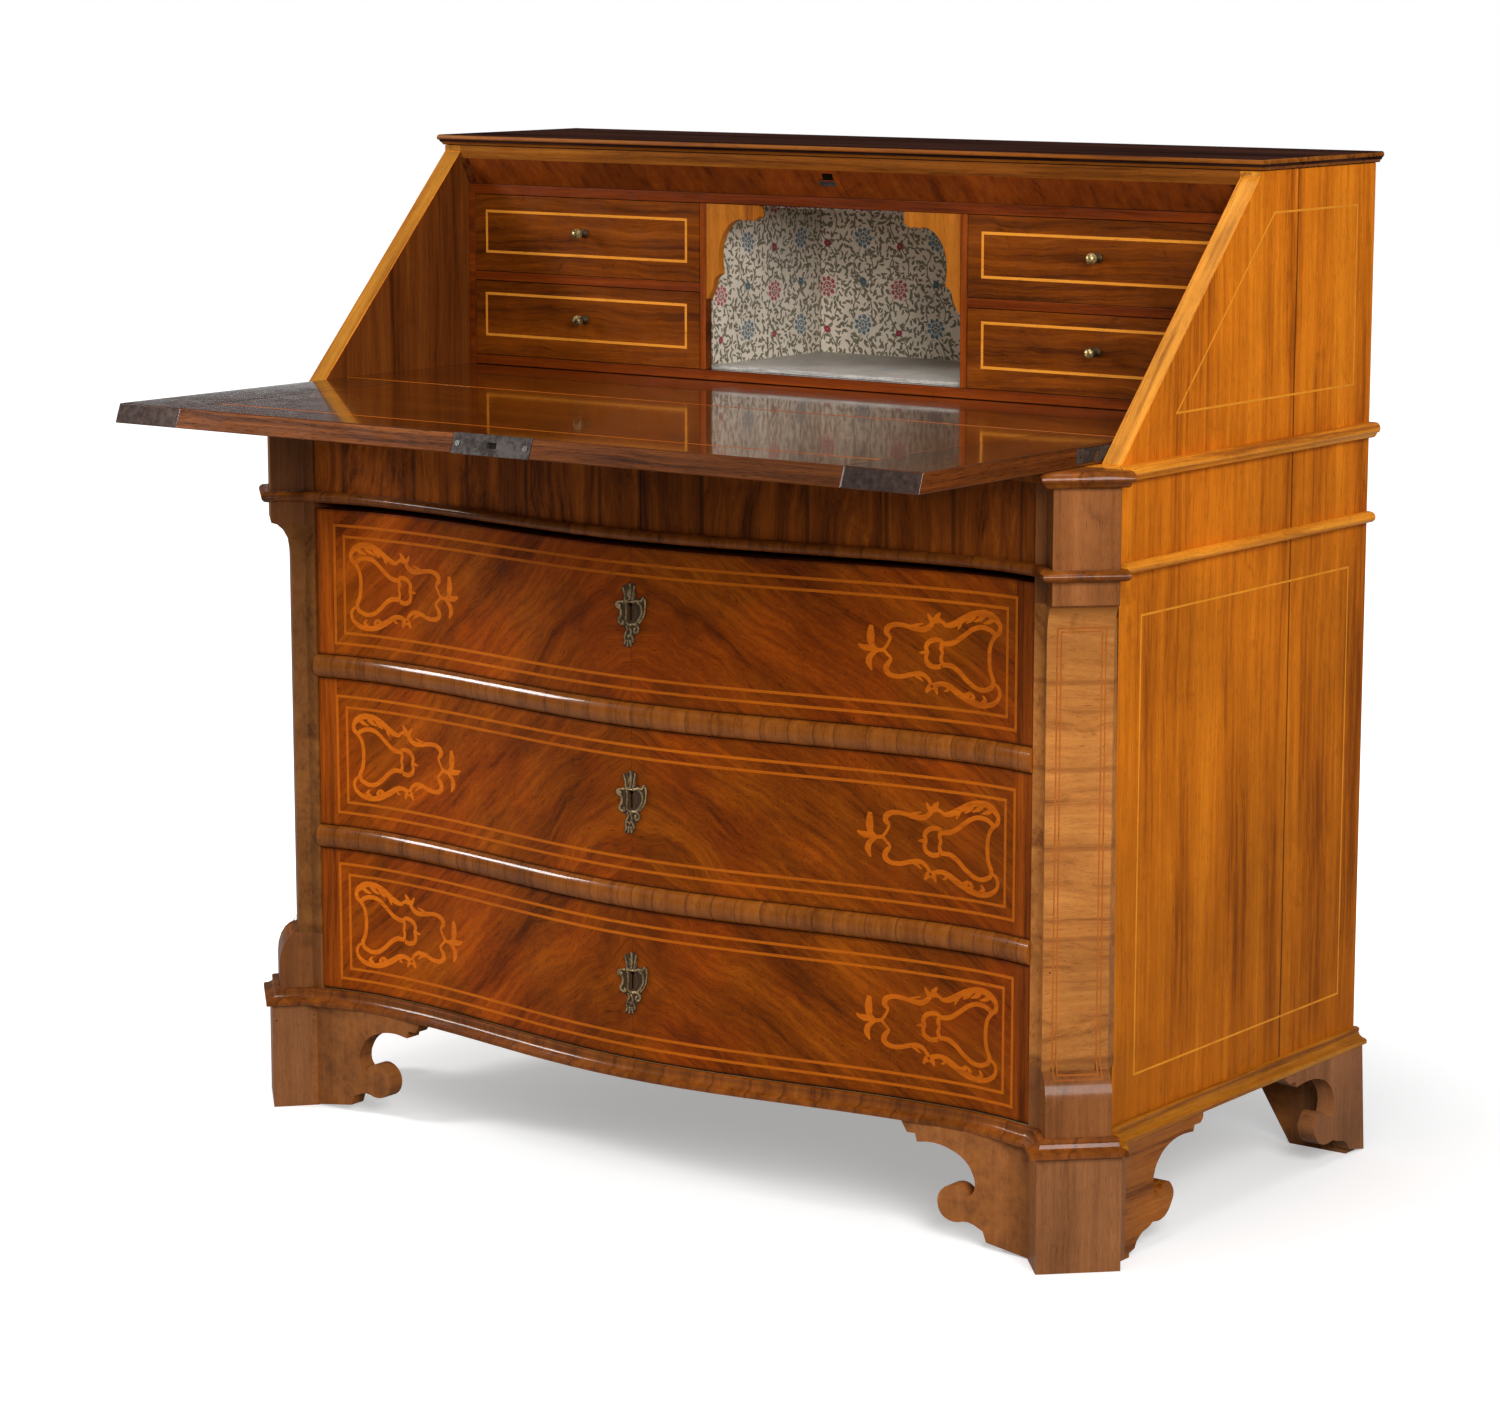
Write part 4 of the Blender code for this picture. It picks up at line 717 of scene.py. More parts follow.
def runTool(piece, tree, values):
    # Runs a node tree on a piece and turns what it makes into a plain mesh
    tool = piece.modifiers.new(tree.name, 'NODES')
    tool.node_group = tree
    named = {item.name: item.identifier for item in tree.interface.items_tree if item.in_out == 'INPUT'}
    for title, value in values.items():
        tool[named[title]] = value
    seen = bpy.context.evaluated_depsgraph_get()
    mesh = bpy.data.meshes.new_from_object(piece.evaluated_get(seen), depsgraph=seen)
    old = piece.data
    piece.modifiers.clear()
    piece.data = mesh
    mesh.name = piece.name
    bpy.data.meshes.remove(old)
    return piece


# Inlay, laid on its carrier by a node tree: the flat shape is dropped on the surface,
# then given a thickness that ends just proud of it
layTree, g, put, end = nodeTool("layInlay", [("Carrier", 'Object', None),
    ("Direction", 'Vector', (0.0, 1.0, 0.0)), ("Proud", 'Float', 0.00012), ("Depth", 'Float', 0.0004),
    ("Material", 'Material', None)])
carrier = g.add('GeometryNodeObjectInfo', {'Object': put["Carrier"]})
here = g.add('GeometryNodeInputPosition').outputs[0]
ray = g.add('GeometryNodeRaycast', {'Target Geometry': carrier.outputs['Geometry'],
    'Source Position': here, 'Ray Direction': put["Direction"], 'Ray Length': 2.0})
sink = g.minus(put["Depth"], put["Proud"])
inward = g.add('ShaderNodeVectorMath', {0: put["Direction"], 'Scale': sink}, operation='SCALE').outputs[0]
foot = g.vector('ADD', ray.outputs['Hit Position'], inward)
laid = g.add('GeometryNodeSetPosition', {'Geometry': put["Geometry"], 'Position': foot}).outputs[0]
outward = g.add('ShaderNodeVectorMath', {0: put["Direction"], 'Scale': g.times(put["Depth"], -1.0)},
    operation='SCALE').outputs[0]
raised = g.add('GeometryNodeExtrudeMesh', {'Mesh': laid, 'Offset': outward, 'Offset Scale': 1.0,
    'Individual': False}, mode='FACES').outputs[0]
under = g.add('GeometryNodeFlipFaces', {'Mesh': laid}).outputs[0]
both = g.add('GeometryNodeJoinGeometry')
layTree.links.new(raised, both.inputs[0])
layTree.links.new(under, both.inputs[0])
closed = g.add('GeometryNodeMergeByDistance', {'Geometry': both.outputs[0], 'Distance': 0.00001}).outputs[0]
endTool(layTree, g, closed, put, end)


def inside(point, outline):
    crossings = 0
    for a, b in zip(outline, outline[1:] + outline[:1]):
        if (a.y > point.y) != (b.y > point.y):
            crossings += point.x < a.x + (b.x - a.x) * (point.y - a.y) / (b.y - a.y)
    return crossings % 2 == 1


def flatMesh(name, outlines, matrix):
    # Overlapping closed outlines become one flat sheet of triangles
    points, links, shapes = [], [], []
    for outline in outlines:
        start = len(points)
        outline = [Vector(point) for point in outline]
        points += outline
        links += [(start + i, start + (i + 1) % len(outline)) for i in range(len(outline))]
        box = [min(p.x for p in outline), max(p.x for p in outline), min(p.y for p in outline),
            max(p.y for p in outline)]
        shapes.append((box, outline))
    verts, _, found, _, _, _ = delaunay_2d_cdt(points, links, [], 0, 0.000001)
    kept = []
    for face in found:
        middle = sum((verts[i] for i in face), Vector((0, 0))) / 3
        if any(box[0] < middle.x < box[1] and box[2] < middle.y < box[3] and inside(middle, outline)
               for box, outline in shapes):
            kept.append(tuple(face))
    mesh = bpy.data.meshes.new(name)
    mesh.from_pydata([(v.x, v.y, 0.0) for v in verts], [], kept)
    mesh.transform(matrix)
    mesh.update()
    return mesh


# Where a flat outline's u and v go, and which way it is dropped: onto the front, a side, or a top
views = {
    "front": (Matrix(((1, 0, 0, 0), (0, 0, -1, -0.6), (0, 1, 0, 0), (0, 0, 0, 1))), (0.0, 1.0, 0.0)),
    "right": (Matrix(((0, 0, 1, 0.7), (1, 0, 0, 0), (0, 1, 0, 0), (0, 0, 0, 1))), (-1.0, 0.0, 0.0)),
    "left": (Matrix(((0, 0, -1, -0.7), (-1, 0, 0, 0), (0, 1, 0, 0), (0, 0, 0, 1))), (1.0, 0.0, 0.0)),
    "top": (Matrix(((1, 0, 0, 0), (0, 1, 0, 0), (0, 0, 1, 1.0), (0, 0, 0, 1))), (0.0, 0.0, -1.0)),
}


def layInlay(name, outlines, view, carrier, body, material, slot, proud=0.00012):
    matrix, direction = views[view] if isinstance(view, str) else view
    piece = newPiece(name, flatMesh(name, outlines, matrix), [material])
    runTool(piece, layTree, {"Carrier": bpy.data.objects[carrier + "_eased"], "Direction": direction,
        "Proud": proud, "Material": material})
    return finishPiece(piece, body, slot)


def strip(a, b, width, step=0.012):
    # A straight string from a to b, its long sides divided so that it can bend
    a, b = Vector(a), Vector(b)
    along = (b - a).normalized()
    out = Vector((-along.y, along.x)) * width / 2
    count = max(1, int((b - a).length / step))
    near = [a + (b - a) * i / count - out for i in range(count + 1)]
    far = [a + (b - a) * i / count + out for i in range(count + 1)]
    return near + far[::-1]


def stringing(corners, width):
    # Strings along the sides of an outline, each run on by half its width to fill the corner
    lines = []
    for a, b in zip(corners, corners[1:] + corners[:1]):
        a, b = Vector(a), Vector(b)
        along = (b - a).normalized() * width / 2
        lines.append(strip(a - along, b + along, width))
    return lines


def rectangle(left, right, low, high):
    return [(left, low), (right, low), (right, high), (left, high)]


# The marquetry cartouche, in shares of its length (0 at the tip, 1 at the outer end) and height
cartouche = {"length": 0.165, "height": 0.084, "tip": 0.2625, "drop": 0.003, "band": 0.0044}
cartouchePaths = {      # each point is along, up, and width as a share of the band
    "tipTop": [(0.124, 0.006, 0.7), (0.090, 0.048, 1.3), (0.080, 0.162, 1.9), (0.084, 0.293, 1)],
    "tipLeft": [(0.133, -0.002, 0.7), (0.071, 0.012, 1.5), (0.027, 0.020, 1.2), (-0.002, 0.053, 0.4)],
    "tipLow": [(0.124, -0.011, 0.7), (0.080, -0.080, 1.3), (0.069, -0.158, 1.5), (0.090, -0.252, 0.4)],
    "neck": [(0.088, 0.001, 1.2), (0.133, -0.002, 0.9), (0.173, 0.011, 0.9)],
    "upperHook": [(0.168, 0.009, 0.8), (0.196, 0.085, 0.7), (0.211, 0.161, 0.8), (0.188, 0.207, 1.3),
        (0.193, 0.272, 1.4), (0.235, 0.317, 1.15), (0.301, 0.321, 1.05), (0.372, 0.295, 1.15),
        (0.442, 0.292, 1.3), (0.487, 0.347, 1.2), (0.513, 0.422, 1)],
    "upperSpur": [(0.345, 0.318, 0.3), (0.389, 0.339, 0.6), (0.434, 0.362, 0.25)],
    "flameA": [(0.504, 0.395, 1.6), (0.482, 0.429, 1), (0.465, 0.486, 0.4)],
    "flameB": [(0.513, 0.389, 1.6), (0.529, 0.452, 1.3), (0.550, 0.506, 0.5)],
    "flameC": [(0.522, 0.434, 1.2), (0.558, 0.403, 0.9), (0.582, 0.394, 0.5)],
    "upperLeaf": [(0.558, 0.418, 0.5), (0.586, 0.367, 1), (0.637, 0.383, 1.4), (0.699, 0.446, 1.5),
        (0.761, 0.515, 1.4), (0.832, 0.554, 1.4), (0.903, 0.549, 1.5), (0.954, 0.495, 1.5),
        (0.982, 0.424, 1.1), (0.975, 0.348, 1.2), (0.951, 0.314, 0.8)],
    "upperLobeA": [(0.699, 0.439, 0.9), (0.687, 0.377, 0.8), (0.673, 0.327, 0.2)],
    "upperLobeB": [(0.788, 0.516, 1.2), (0.763, 0.462, 1.2), (0.733, 0.413, 0.25)],
    "upperLobeC": [(0.858, 0.535, 1.3), (0.830, 0.480, 1.1), (0.786, 0.443, 0.25)],
    "upperLobeD": [(0.929, 0.502, 1.2), (0.898, 0.459, 1), (0.857, 0.435, 0.25)],
    "bellTop": [(0.566, 0.144, 1), (0.611, 0.151, 1.2), (0.655, 0.178, 1.15), (0.717, 0.264, 1.1),
        (0.779, 0.350, 1.1), (0.841, 0.386, 1.1), (0.903, 0.369, 1.1), (0.949, 0.314, 1.1)],
    "bellSide": [(0.951, 0.314, 1.1), (0.919, 0.232, 1), (0.904, 0.120, 1.05), (0.903, -0.014, 1.05),
        (0.912, -0.128, 1.05), (0.935, -0.238, 1.1), (0.922, -0.308, 1.1)],
    "bellLow": [(0.566, -0.111, 1), (0.624, -0.105, 1.2), (0.681, -0.160, 1.15), (0.743, -0.264, 1.1),
        (0.805, -0.338, 1.1), (0.863, -0.353, 1.1), (0.927, -0.303, 1.1)],
    "ring": [(0.571, 0.145, 1), (0.554, 0.183, 1), (0.513, 0.184, 1.15), (0.473, 0.148, 1.15),
        (0.455, 0.086, 1.1), (0.465, 0.026, 0.9), (0.455, -0.038, 1), (0.469, -0.110, 1.15),
        (0.513, -0.143, 1.15), (0.558, -0.125, 1.1)],
    "ringTip": [(0.465, 0.026, 1), (0.438, 0.017, 0.8), (0.409, 0.011, 0.3)],
    "ringBack": [(0.568, 0.148, 1.1), (0.558, 0.086, 1), (0.568, 0.031, 0.8), (0.558, -0.030, 0.9),
        (0.571, -0.110, 1.1)],
    "lowerHook": [(0.168, 0.009, 0.8), (0.193, -0.044, 0.7), (0.218, -0.095, 0.8), (0.191, -0.170, 1.3),
        (0.186, -0.238, 1.4), (0.223, -0.290, 1.15), (0.292, -0.292, 1.05), (0.363, -0.253, 1.1),
        (0.425, -0.240, 1.1), (0.469, -0.286, 0.9), (0.494, -0.359, 0.9)],
    "lowerSpur": [(0.381, -0.261, 0.8), (0.412, -0.293, 0.7), (0.438, -0.329, 0.25)],
    "flameD": [(0.487, -0.378, 1.6), (0.469, -0.416, 1.1), (0.458, -0.456, 0.5)],
    "flameE": [(0.509, -0.379, 1.6), (0.527, -0.415, 1), (0.535, -0.466, 0.4)],
    "lowerLeaf": [(0.504, -0.369, 1.2), (0.558, -0.332, 1.1), (0.611, -0.347, 1.3), (0.664, -0.406, 1.5),
        (0.717, -0.459, 1.5), (0.779, -0.513, 1.4), (0.850, -0.534, 1.3), (0.920, -0.509, 1.2),
        (0.968, -0.447, 1), (0.984, -0.364, 0.9), (0.969, -0.293, 0.8), (0.945, -0.264, 0.6)],
    "lowerLobeA": [(0.611, -0.356, 0.9), (0.602, -0.408, 0.7), (0.580, -0.415, 0.2)],
    "lowerLobeB": [(0.726, -0.453, 1.2), (0.754, -0.419, 1.2), (0.759, -0.386, 0.3)],
    "lowerLobeC": [(0.770, -0.502, 1.2), (0.788, -0.450, 1.1), (0.768, -0.398, 0.3)],
    "lowerLobeD": [(0.850, -0.514, 1.2), (0.876, -0.466, 1.1), (0.854, -0.416, 0.3)],
    "lowerLobeE": [(0.699, -0.438, 0.7), (0.677, -0.468, 0.4)],
}


def smoothPath(points, step):
    # A curve through the points, in the shares' own units
    dense = []
    padded = [points[0]] + points + [points[-1]]
    for a, b, c, d in zip(padded, padded[1:], padded[2:], padded[3:]):
        steps = max(2, int(math.dist(b[:2], c[:2]) / step))
        for i in range(steps):
            t = i / steps
            dense.append(tuple(0.5 * (2 * q + (r - p) * t + (2 * p - 5 * q + 4 * r - s) * t * t
                + (3 * q - p - 3 * r + s) * t ** 3) for p, q, r, s in zip(a, b, c, d)))
    return dense + [tuple(points[-1])]


def ribbon(points, scale, band):
    # A band of changing width round a curve; points hold (u, v, width share)
    path = [(Vector((u * scale[0], v * scale[1])), band * w / 2) for u, v, w in points]
    near, far = [], []
    for i, (point, half) in enumerate(path):
        before, after = path[max(i - 1, 0)][0], path[min(i + 1, len(path) - 1)][0]
        along = (after - before).normalized()
        out = Vector((-along.y, along.x)) * half
        near.append(point - out)
        far.append(point + out)
    return near + far[::-1]


def cartoucheShape(sign, centre):
    look = cartouche
    outlines = []
    for path in cartouchePaths.values():
        band = ribbon(smoothPath(path, 0.02), (look["length"], look["height"]), look["band"])
        outlines.append([(sign * (look["tip"] + p.x), centre + p.y) for p in band])
    return outlines


stringLook = {"width": 0.0030, "outer": (0.4455, 0.0652), "inner": (0.4335, 0.0533), "drop": 0.002}
for number in numbers:
    low, high = drawerBoxes[number]
    middle = (low.z + high.z) / 2
    carrier = "drawer_%d_front" % number
    body = "drawer_%d" % number
    lines = []
    for half, rise in (stringLook["outer"], stringLook["inner"]):
        centre = middle - stringLook["drop"]
        lines += stringing(rectangle(-half, half, centre - rise, centre + rise), stringLook["width"])
    layInlay("drawer_%d_stringing" % number, lines, "front", carrier, body, woods["stringWood"], "pale_wood")
    shapes = []
    for sign in (-1, 1):
        shapes += cartoucheShape(sign, middle - cartouche["drop"])
    layInlay("drawer_%d_marquetry" % number, shapes, "front", carrier, body, woods["inlayWood"],
        "pale_wood", 0.00014)

# Near end, far end, low and high of each row's strings
smallStrings = {"upper": (0.1965, 0.4845, 0.938, 0.984), "lower": (0.1970, 0.4860, 0.843, 0.890)}
for row, (near, far, low, high) in smallStrings.items():
    for side, sign in sides:
        name = "small_drawer_%s_%s" % (row, side)
        left, right = sorted((sign * near, sign * far))
        layInlay(name + "_stringing", stringing(rectangle(left, right, low, high), stringLook["width"]),
            "front", name, name, woods["galleryString"], "pale_wood")

# Stringing on the sides: one figure behind the slant, one on the chest, both of one width
sideStrings = {
    "width": 0.0022,
    "chest": (-0.0543, 0.3592, 0.178, 0.638),
    "upper": [(0.0057, 0.830), (0.3603, 0.830), (0.3603, 1.016), (0.1887, 1.016)],
}
for side, sign in sides:
    lines = []
    for figure in (rectangle(*sideStrings["chest"]), sideStrings["upper"]):
        lines += stringing([(sign * u, v) for u, v in figure], sideStrings["width"])
    layInlay("side_stringing_" + side, lines, side, "side_" + side, "case", woods["sideString"], "pale_wood")
# Strings on the canted posts, on the seam of the writing bed and along the fall's far edge
postStrings = {"centre": (0.5312, -0.1488), "along": (0.710, 0.704), "left": -0.0228, "right": 0.0250,
    "low": 0.190, "high": 0.634, "inset": 0.0038, "width": 0.0014}
for side, sign in sides:
    look = postStrings
    along = Vector((look["along"][0], look["along"][1] * sign, 0.0))
    outward = along.cross(Vector((0.0, 0.0, 1.0)))
    centre = Vector((look["centre"][0] * sign, look["centre"][1], 0.0)) + outward * 0.1
    matrix = Matrix((along, (0, 0, 1), outward)).transposed().to_4x4()
    matrix.translation = centre
    left, right = sorted((look["left"] * sign, look["right"] * sign))
    lines = []
    for inset in (0.0, look["inset"]):
        lines += stringing(rectangle(left + inset, right - inset, look["low"] + inset,
            look["high"] - inset), look["width"])
    layInlay("post_stringing_" + side, lines, (matrix, tuple(-outward)), "corner_post_" + side, "case",
        woods["postString"], "pale_wood")
# Half length, y, width, carrier and body of the strings that lie flat
flatStrings = {"bed_seam_string": (0.5105, -0.0418, 0.0026, "writing_bed", "case"),
    "fall_string": (0.4215, -0.336, 0.0024, "fall_panel", "fall")}
for name, (half, y, width, carrier, body) in flatStrings.items():
    layInlay(name, [strip((-half, y), (half, y), width)], "top", carrier, body, woods["stringWood"],
        "pale_wood")
# The notch worn above the keeper slot, its hollow drawn as a flat patch of painted shade, and the iron strip
# under it
keeperLook = {
    "notch": [(-0.0105, 1.0335), (0.0105, 1.0335), (0.0015, 1.0485)],
    "strip": (-0.0110, 0.0110, 1.0268, 1.0322),
    "proud": 0.0003,
}
layInlay("keeper_notch", [keeperLook["notch"]], "front", "top_rail", "case", woods["sootyWood"],
    slotOf("top_rail"))
layInlay("keeper_strip", [rectangle(*keeperLook["strip"])], "front", "top_rail", "case",
    metals["darkIron"], "dark_iron", keeperLook["proud"])
print("inlay ready")

# Slotted screw heads: cut by a node tree and set on points, each turned by chance
screwTree, g, put, end = nodeTool("setScrews", [("Radius", 'Float', 0.0028), ("Rise", 'Float', 0.0005),
    ("Facing", 'Vector', (1.0, 0.0, 0.0)), ("Seed", 'Int', 4), ("Material", 'Material', None)])
head = g.add('GeometryNodeMeshCylinder', {'Vertices': 24, 'Radius': put["Radius"],
    'Depth': g.times(put["Rise"], 2.0)}).outputs[0]
slotSize = g.join(g.times(put["Radius"], 3.0), g.times(put["Radius"], 0.30), put["Rise"])
blade = g.add('GeometryNodeMeshCube', {'Size': slotSize}).outputs[0]
lifted = g.add('GeometryNodeTransform', {'Geometry': blade, 'Translation': g.join(0.0, 0.0,
    put["Rise"])}).outputs[0]
slotted = g.add('GeometryNodeMeshBoolean', {'Mesh 1': head, 'Mesh 2': lifted}, operation='DIFFERENCE',
    solver='EXACT').outputs[0]
facing = g.add('FunctionNodeAlignRotationToVector', {'Vector': put["Facing"]}, axis='Z').outputs[0]
placed = g.add('GeometryNodeInstanceOnPoints', {'Points': put["Geometry"], 'Instance': slotted,
    'Rotation': facing}).outputs[0]
chance = g.add('FunctionNodeRandomValue', {'Min': 0.0, 'Max': 3.1, 'Seed': put["Seed"]}, data_type='FLOAT')
turned = g.add('GeometryNodeRotateInstances', {'Instances': placed,
    'Rotation': g.join(0.0, 0.0, chance.outputs[1])}).outputs[0]
endTool(screwTree, g, turned, put, end)


def setScrews(name, places, facing, body, radius, rise, seed):
    mesh = bpy.data.meshes.new(name)
    mesh.from_pydata(places, [], [])
    piece = newPiece(name, mesh, [metals["screwIron"]])
    runTool(piece, screwTree, {"Radius": radius, "Rise": rise, "Facing": facing, "Seed": seed,
        "Material": metals["screwIron"]})
    return finishPiece(piece, body, "dark_iron")


# level: z of the fall's screws; hinge: x and both y; lock: both x and y, then the way they face;
# drawer: x, and distances from the lock's low and high end; each head's radius and rise come last
screwLook = {"level": 0.7983, "hinge": (0.5105, (-0.1290, -0.1020)), "hingeHead": (0.0029, 0.0005),
    "lock": ((-0.0408, 0.0455), -0.39815), "lockFacing": (0.0, -0.942, 0.334),
    "lockHead": (0.0030, 0.0005), "drawer": (0.029, 0.008, 0.020), "drawerHead": (0.0032, 0.0003)}
level = screwLook["level"]
for side, sign in sides:
    out, places = screwLook["hinge"]
    setScrews("hinge_screws_" + side, [(sign * out, y, level) for y in places], (sign, 0.0, 0.0), "fall",
        *screwLook["hingeHead"], 4)
places, y = screwLook["lock"]
setScrews("fall_lock_screws", [(x, y, level) for x in places], screwLook["lockFacing"], "fall",
    *screwLook["lockHead"], 7)
for number in numbers:
    low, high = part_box("drawer_%d_lock" % number)
    out, above, below = screwLook["drawer"]
    setScrews("drawer_%d_lock_screws" % number, [(x, high.y, z) for x in (-out,
        out) for z in (low.z + above, high.z - below)], (0.0, 1.0, 0.0), "drawer_%d" % number,
        *screwLook["drawerHead"], number)
print("screws ready")

# Turned knobs of the small drawers: (radius, reach from the drawer) in millimetres
knobProfile = [(0, 20), (1.5, 19.95), (2.9, 19.5), (4.2, 18.6), (5.2, 17.2), (5.85, 15.6), (6.0, 14.2),
    (5.8, 12.9), (5.1, 11.4), (4.0, 10.3), (2.8, 9.7), (2.2, 9.2), (1.9, 8.3), (1.8, 7.0), (1.9, 5.6),
    (2.3, 4.6), (3.1, 3.9), (3.2, 3.4), (2.8, 3.0), (3.4, 2.6), (4.7, 1.9), (5.0, 1.2), (4.9, 0.4),
    (4.8, 0), (0, 0)]
knobTurns = 36
for place in smallDrawers:
    node = "small_knob_" + place
    low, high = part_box(node)
    centre = (low + high) / 2
    shape = bmesh.new()
    rings = []
    for radius, reach in knobProfile:
        rings.append([shape.verts.new((centre.x + radius / 1000 * math.cos(2 * math.pi * i / knobTurns),
            high.y - reach / 1000, centre.z + radius / 1000 * math.sin(2 * math.pi * i / knobTurns)))
            for i in range(knobTurns if radius else 1)])
    for front, back in zip(rings, rings[1:]):
        for i in range(knobTurns):
            corners = [front[i % len(front)], back[i % len(back)], back[(i + 1) % len(back)],
                front[(i + 1) % len(front)]]
            shape.faces.new(list(dict.fromkeys(corners)))
    bmesh.ops.recalc_face_normals(shape, faces=shape.faces)
    piece = newPiece(node + "_turned", finishedMesh(shape, node + "_turned"), [metals["knobBrass"]])
    shadeByAngle(piece, 50)
    finishPiece(piece, "small_drawer_" + place, "knob_brass", node)
print("knobs ready")

# Rococo escutcheons: chased relief inside the solid's own outline. Ridges are paths in
# millimetres from the keyhole, each with its half width and height
reliefRidges = [([(-10, 13.4), (-15, 13.2), (-18, 11.8), (-19, 9.2), (-17, 6.8), (-14.6, 7.4),
    (-14.4, 9.6), (-16, 10)], 1.3, 2.0), ([(-14.6, 6.6), (-12.8, 3.6), (-12.4, 0.2), (-13.6, -3),
    (-15.8, -5.6), (-15.4, -8.6), (-12.4, -10.2), (-9.2, -9.6), (-9.8, -7.4)], 1.4, 2.0),
    ([(-6.6, 13.6), (-5.6, 8), (-5.4, 2), (-6.2, -3), (-6, -7.4), (-2.6, -10), (1, -9.8)], 1.2, 1.7),
    ([(-9.6, 12.4), (-8.6, 7.4), (-8.8, 2), (-9.8, -3), (-10.6, -6.6)], 0.7, 1.2),
    ([(-7, 14.4), (-1, 13.4), (4, 14.2), (9, 15.6), (14, 15.4), (16.6, 19.6)], 1.1, 1.9),
    ([(18.6, 17.4), (19.4, 12), (19.2, 7), (17.8, 1.4), (15, -3.6), (11.4, -7.6)], 1.0, 2.0),
    ([(9.6, 13.6), (13.2, 11.6), (14.8, 7), (14.2, 1.4), (11, -4), (7, -8.4)], 1.2, 1.8),
    ([(4.4, 9), (6.4, 6.6), (7, 2.4), (6, -1.6), (3.8, -5.6)], 0.8, 1.3),
    ([(16.6, 12.6), (17, 7.6), (15.6, 1.6), (12.8, -3.4)], 0.5, 1.2),
    ([(0.6, -10.4), (4, -9), (8, -10), (10.4, -13.2), (9.6, -16.8), (6.4, -18), (4.4, -15.6), (6, -13.4)],
    1.2, 2.0), ([(-5, -12.4), (-4, -15.4), (-6.4, -19), (-7.8, -23), (-7, -26.6)], 1.1, 1.8),
    ([(-1.2, -12.8), (0.6, -16.4), (0.2, -20.4), (2.6, -23.6), (3.2, -27)], 1.1, 1.9),
    ([(-4.4, -21), (-2.2, -23.4), (-1, -20.4)], 0.9, 2.0), ([(-6.4, -27), (-8.4, -30.8)], 1.2, 1.9),
    ([(-3.4, -26.6), (-4.2, -32)], 1.2, 1.9), ([(-0.4, -26.6), (0.2, -31.4)], 1.2, 1.9),
    ([(-7.4, 15.6), (-7.4, 21), (-9.8, 27.6)], 1.0, 1.9), ([(-4.4, 16.4), (-4.4, 22), (-5.6, 29)], 0.8,
    1.4), ([(-1.4, 16.4), (-0.2, 23), (-0.8, 31.8)], 1.2, 2.0), ([(2.4, 16.6), (3.4, 22), (5.2, 30.4)],
    1.0, 1.9), ([(-3, 20), (-2.6, 25)], 1.0, 1.8), ([(4.4, 18), (5.8, 23)], 0.8, 1.6)]
# ground: the height between the ridges, in millimetres; rim and grid: spacing of the points; a ridge
# spreads over spread times its half width and starts from foot millimetres; plate: how far behind
# the escutcheon the dark plate of painted shade starts and ends, and its share of the keyhole
reliefLook = {"ground": 0.55, "rim": 0.0009, "grid": 0.00085, "lobes": 2.4, "spread": 1.25, "foot": 0.4,
    "centre": 0.0003, "full": 0.002, "plate": (0.0006, 0.0010), "share": 0.96}


def reliefHeight(u, v):
    # Height of the chased face at u, v (millimetres from the keyhole), in millimetres
    best, spread, foot = reliefLook["ground"], reliefLook["spread"], reliefLook["foot"]
    for path, half, top in reliefRidges:
        run = 0.0
        for (ax, ay), (bx, by) in zip(path, path[1:]):
            length = math.hypot(bx - ax, by - ay)
            share = max(0.0, min(1.0, ((u - ax) * (bx - ax) + (v - ay) * (by - ay)) / length ** 2))
            away = math.hypot(u - ax - share * (bx - ax), v - ay - share * (by - ay)) / half
            if away < spread:
                beads = 0.9 + 0.1 * math.cos((run + share * length) * reliefLook["lobes"])
                best = max(best, foot + (top * beads - foot) * math.sqrt(max(0.0, 1 - (away / spread) ** 2)))
            run += length
    return best


def outerLoops(shape, chosen):
    # The closed rims of a set of faces, longest first, each walked in the order of the mesh
    rims = [edge for edge in shape.edges if sum(f in chosen for f in edge.link_faces) == 1]
    loops, left = [], set(rims)
    for edge in rims:
        if edge not in left:
            continue
        left.discard(edge)
        loop = [edge.verts[0], edge.verts[1]]
        while True:
            step = next((e for e in loop[-1].link_edges if e in left), None)
            if step is None:
                break
            left.discard(step)
            loop.append(step.other_vert(loop[-1]))
        loops.append([v.co.copy() for v in loop[:-1]])
    return sorted(loops, key=lambda points: -sum((a - b).length for a, b in zip(points, points[1:])))


